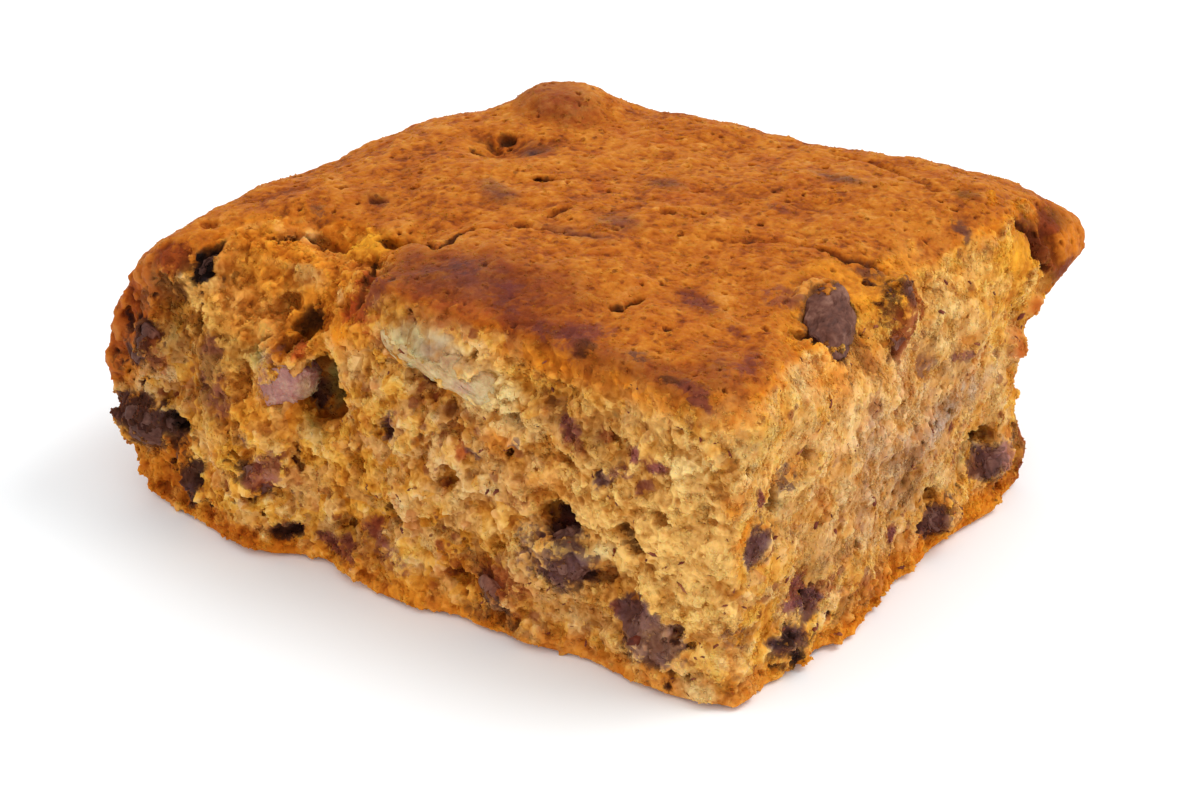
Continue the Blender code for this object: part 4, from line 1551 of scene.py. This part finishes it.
@dataclass(frozen=True)
class Seat:
    """How a baked-in piece shows: its level against the form, its size beside its node's, and a shift."""

    level: float = -0.45
    across: float = 1.0
    up: float = 1.0
    shift: tuple[float, float] = (0.0, 0.0)


SEATS = {
    "chocolate_top_edge": Seat(0.1, 0.5, 0.78, (1.1, 0.2)),
    "chocolate_left_low": Seat(-0.4, 0.84, 0.74, (0.5, 0.0)),
    "chocolate_left_top": Seat(-1.7, 0.6, 0.8),
    "chocolate_left_mid": Seat(-0.45, 0.85, 0.65, (-0.6, 0.4)),
    "chocolate_left_base": Seat(-0.5, 0.7, 1.0),
    "chocolate_front_left": Seat(-0.5, 0.6, 0.8, (0.8, 0.2)),
    "chocolate_front_low": Seat(-0.6, 0.8, 0.7),
    "chocolate_front_middle": Seat(-0.7, 0.62, 0.95, (0.4, 0.4)),
    "chocolate_front_base": Seat(-0.6, 0.85, 0.7),
    "chocolate_right_top": Seat(-0.5, 0.75, 0.85),
    "chocolate_right_middle": Seat(-0.55, 0.7, 0.8),
    "chocolate_right_low": Seat(-0.5, 0.8, 0.6),
    "chocolate_right_far": Seat(-0.4, 0.9, 0.8),
    "banana_front_hole": Seat(-0.3, 0.74, 0.66, (-0.4, -1.9)),
    "banana_front_slice": Seat(-0.4, 0.95, 0.92, (0.0, -0.1)),
    "banana_right_slice": Seat(-0.7, 0.75, 0.6),
}


@dataclass
class BakedPiece:
    """A piece baked into the bread, finer than its frame node and level with the crumb around it."""

    node: str
    form: Form
    painter: Painter
    cuts: int = 5
    chocolate_rough: float = 0.3
    banana_rough: float = 0.22

    def build(self, frame: dict) -> bpy.types.Object:
        """Makes the piece from a merged copy of its node.


        Returns:
            The piece.
        """
        seat = SEATS.get(self.node, Seat())
        shape = merged_copy(frame["nodes"][self.node])
        bmesh.ops.subdivide_edges(shape, edges=shape.edges[:], cuts=self.cuts, use_grid_fill=True, smooth=0.5)
        bmesh.ops.triangulate(shape, faces=shape.faces[:])
        piece = new_piece(self.node + "_piece", shape)
        cloud = Cloud.read(piece)
        across, up = {"right": (1, 2), "top": (0, 1)}.get(self.node.split("_")[1], (0, 2))
        middle = cloud.places.mean(axis=0)
        scale, move = np.ones(3), np.zeros(3)
        scale[across], scale[up] = seat.across, seat.up
        move[across], move[up] = seat.shift
        cloud.places = middle + move + (cloud.places - middle) * scale
        cloud.places = warped(warped(cloud.places, 3.4, 1.3, 40.0), 1.3, 0.45, 44.0)
        on_form, height = self.form.under(cloud)
        outward = smooth_step((cloud.normals * on_form.normals).sum(axis=1), 0.0, 0.7)
        rough = self.chocolate_rough if self.node.startswith("chocolate") else self.banana_rough
        relief = 0.4 * swell(cloud.places, 1.9, 3.0) + rough * blocks(cloud.places, 1.3, 3.0)
        lift = (seat.level + relief - height) * outward
        cloud.places += on_form.normals * lift[:, None]
        cloud.write(piece)
        self.painter.paint(piece, own_relief=False)
        LOG.info("%s: %d faces", piece.name, len(piece.data.polygons))
        return piece


@dataclass(frozen=True)
class Lamp:
    """A soft square panel of light: where it hangs and its side, in metres, and its power in watts."""

    name: str
    place: Triple
    size: float
    power: float

    def hang(self) -> None:
        """Puts the panel in the scene, looking at the bread."""
        data = bpy.data.lights.new(self.name, "AREA")
        data.size = self.size
        data.energy = self.power
        panel = placed(self.name, data)
        panel.location = self.place
        panel.rotation_mode = "QUATERNION"
        panel.rotation_quaternion = (-Vector(self.place)).to_track_quat("-Z", "Y")


@dataclass
class Studio:
    """Camera, pale floor and soft light."""

    azimuth: float = 35.0
    elevation: float = 27.5
    distance: float = 405.0
    lens: float = 105.0
    sensor: float = 36.0
    target: Triple = (-34.12, 23.24, 18.0)
    floor_size: float = 4.0
    floor_colour: tuple[float, ...] = (0.955, 0.985, 1.0, 1.0)
    sky_strength: float = 0.98
    lamps: tuple[Lamp, ...] = (
        Lamp("key", (0.62, 0.42, 1.05), 0.6, 6.0),
        Lamp("fill", (0.6, -1.0, 0.55), 0.9, 1.5),
    )

    def camera(self) -> None:
        """Places the camera at the photograph's view."""
        turn, rise = math.radians(self.azimuth), math.radians(self.elevation)
        back = Vector((math.sin(turn) * math.cos(rise), -math.cos(turn) * math.cos(rise), math.sin(rise)))
        data = bpy.data.cameras.new("camera")
        data.lens = self.lens
        data.sensor_width = self.sensor
        data.clip_start = 0.01
        camera = placed("camera", data)
        target = Vector(self.target) + Vector(NEAR_CORNER)
        camera.location = (target + back * self.distance) * MM
        camera.rotation_mode = "QUATERNION"
        camera.rotation_quaternion = (-back).to_track_quat("-Z", "Y")
        bpy.context.scene.camera = camera

    def floor(self) -> None:
        """Lays the floor under the bread."""
        shape = bmesh.new()
        bmesh.ops.create_grid(shape, x_segments=1, y_segments=1, size=self.floor_size / 2.0)
        floor = new_piece("floor", shape)
        graph = Graph("pale_floor")
        graph.set(Base_Color=self.floor_colour, Roughness=0.7, Specular_IOR_Level=0.1)
        floor.data.materials.append(graph.material)
        floor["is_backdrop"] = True

    def build(self) -> None:
        """Sets up the whole studio."""
        self.camera()
        self.floor()
        world = bpy.data.worlds.new("studio")
        world.use_nodes = True
        sky = world.node_tree.nodes["Background"].inputs
        sky["Color"].default_value = (1.0, 1.0, 1.0, 1.0)
        sky["Strength"].default_value = self.sky_strength
        bpy.context.scene.world = world
        for lamp in self.lamps:
            lamp.hang()
        bpy.context.scene.view_settings.view_transform = "Standard"


@dataclass
class Dresser:
    """Dresses finished pieces and puts them in the frame, inside its box."""

    box: Sequence[Sequence[float]]

    def place(self, piece: bpy.types.Object, finish: bpy.types.Material, slot: str, node: str = "") -> None:
        """Dresses a piece, and puts it in the frame.

        Args:
            piece: The piece.
            finish: Its material.
            slot: The material slot of the record that it shows. It is not used.
            node: The frame node that it takes the place of, if any.
        """
        cloud = Cloud.read(piece)
        low, high = (np.array(corner) / MM - NEAR_CORNER for corner in self.box)
        cloud.places = cloud.places.clip(low, high)
        cloud.write(piece)
        piece.data.materials.clear()
        piece.data.materials.append(finish)
        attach(piece, BODY)
        if node:
            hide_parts(node)


def main() -> None:
    """Builds everything in order."""
    logging.basicConfig(level=logging.INFO, format="%(message)s")
    rng = np.random.default_rng(SEED)
    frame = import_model()
    cad_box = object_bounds()
    dresser = Dresser(cad_box)
    Studio().build()
    form = Form()
    form.build(frame)
    painter = Painter(form)
    banana, pink = BananaFinish(), BananaFinish("moist_pink_banana", ("854f48", "a87064", "c29880"))
    finishes = {"chocolate": ChocolateFinish().make(), "banana": banana.make(), "banana_front_hole": pink.make()}
    baked_in = {"chocolate": [], "banana": []}
    for name in sorted(set(frame["nodes"]) - {"bread"}):
        kind = name.split("_")[0]
        piece = BakedPiece(name, form, painter).build(frame)
        dresser.place(piece, finishes.get(name, finishes[kind]), kind, name)
        baked_in[kind].append(piece)
    for kind, pieces in baked_in.items():
        form.remember(kind, pieces)
    bread_finish = BreadFinish().make()
    body = BreadBody(form, painter, rng)
    bread = body.build()
    dresser.place(bread, bread_finish, "bread", "bread")
    cloud, crust = Cloud.read(bread), stored_values(bread, "crust")
    upward = smooth_step(cloud.normals[:, 2], 0.3, 0.7)
    calm = body.calm(cloud)
    moist = (1.0 - calm) * smooth_step(cloud.places[:, 0], -12.0, -6.0)
    for name, count, sizes, sunk, weights in (
        ("crumb_grains", 16000, (0.12, 0.36), (0.1, 0.7), (1.0 - crust) * calm),
        ("crust_grains", 12000, (0.1, 0.24), (0.2, 0.7), crust * upward),
        ("moist_grains", 14000, (0.12, 0.34), (0.0, 0.6), (1.0 - crust) * moist),
    ):
        crumbs = Crumbs(name, count, sizes, sunk, painter, rng)
        dresser.place(crumbs.build(bread, weights), bread_finish, "bread")
    dresser.place(Flecks(360, rng).build(bread), FleckFinish().make(), "bread")
    bpy.data.objects.remove(form.piece)


if __name__ == "__main__":
    main()
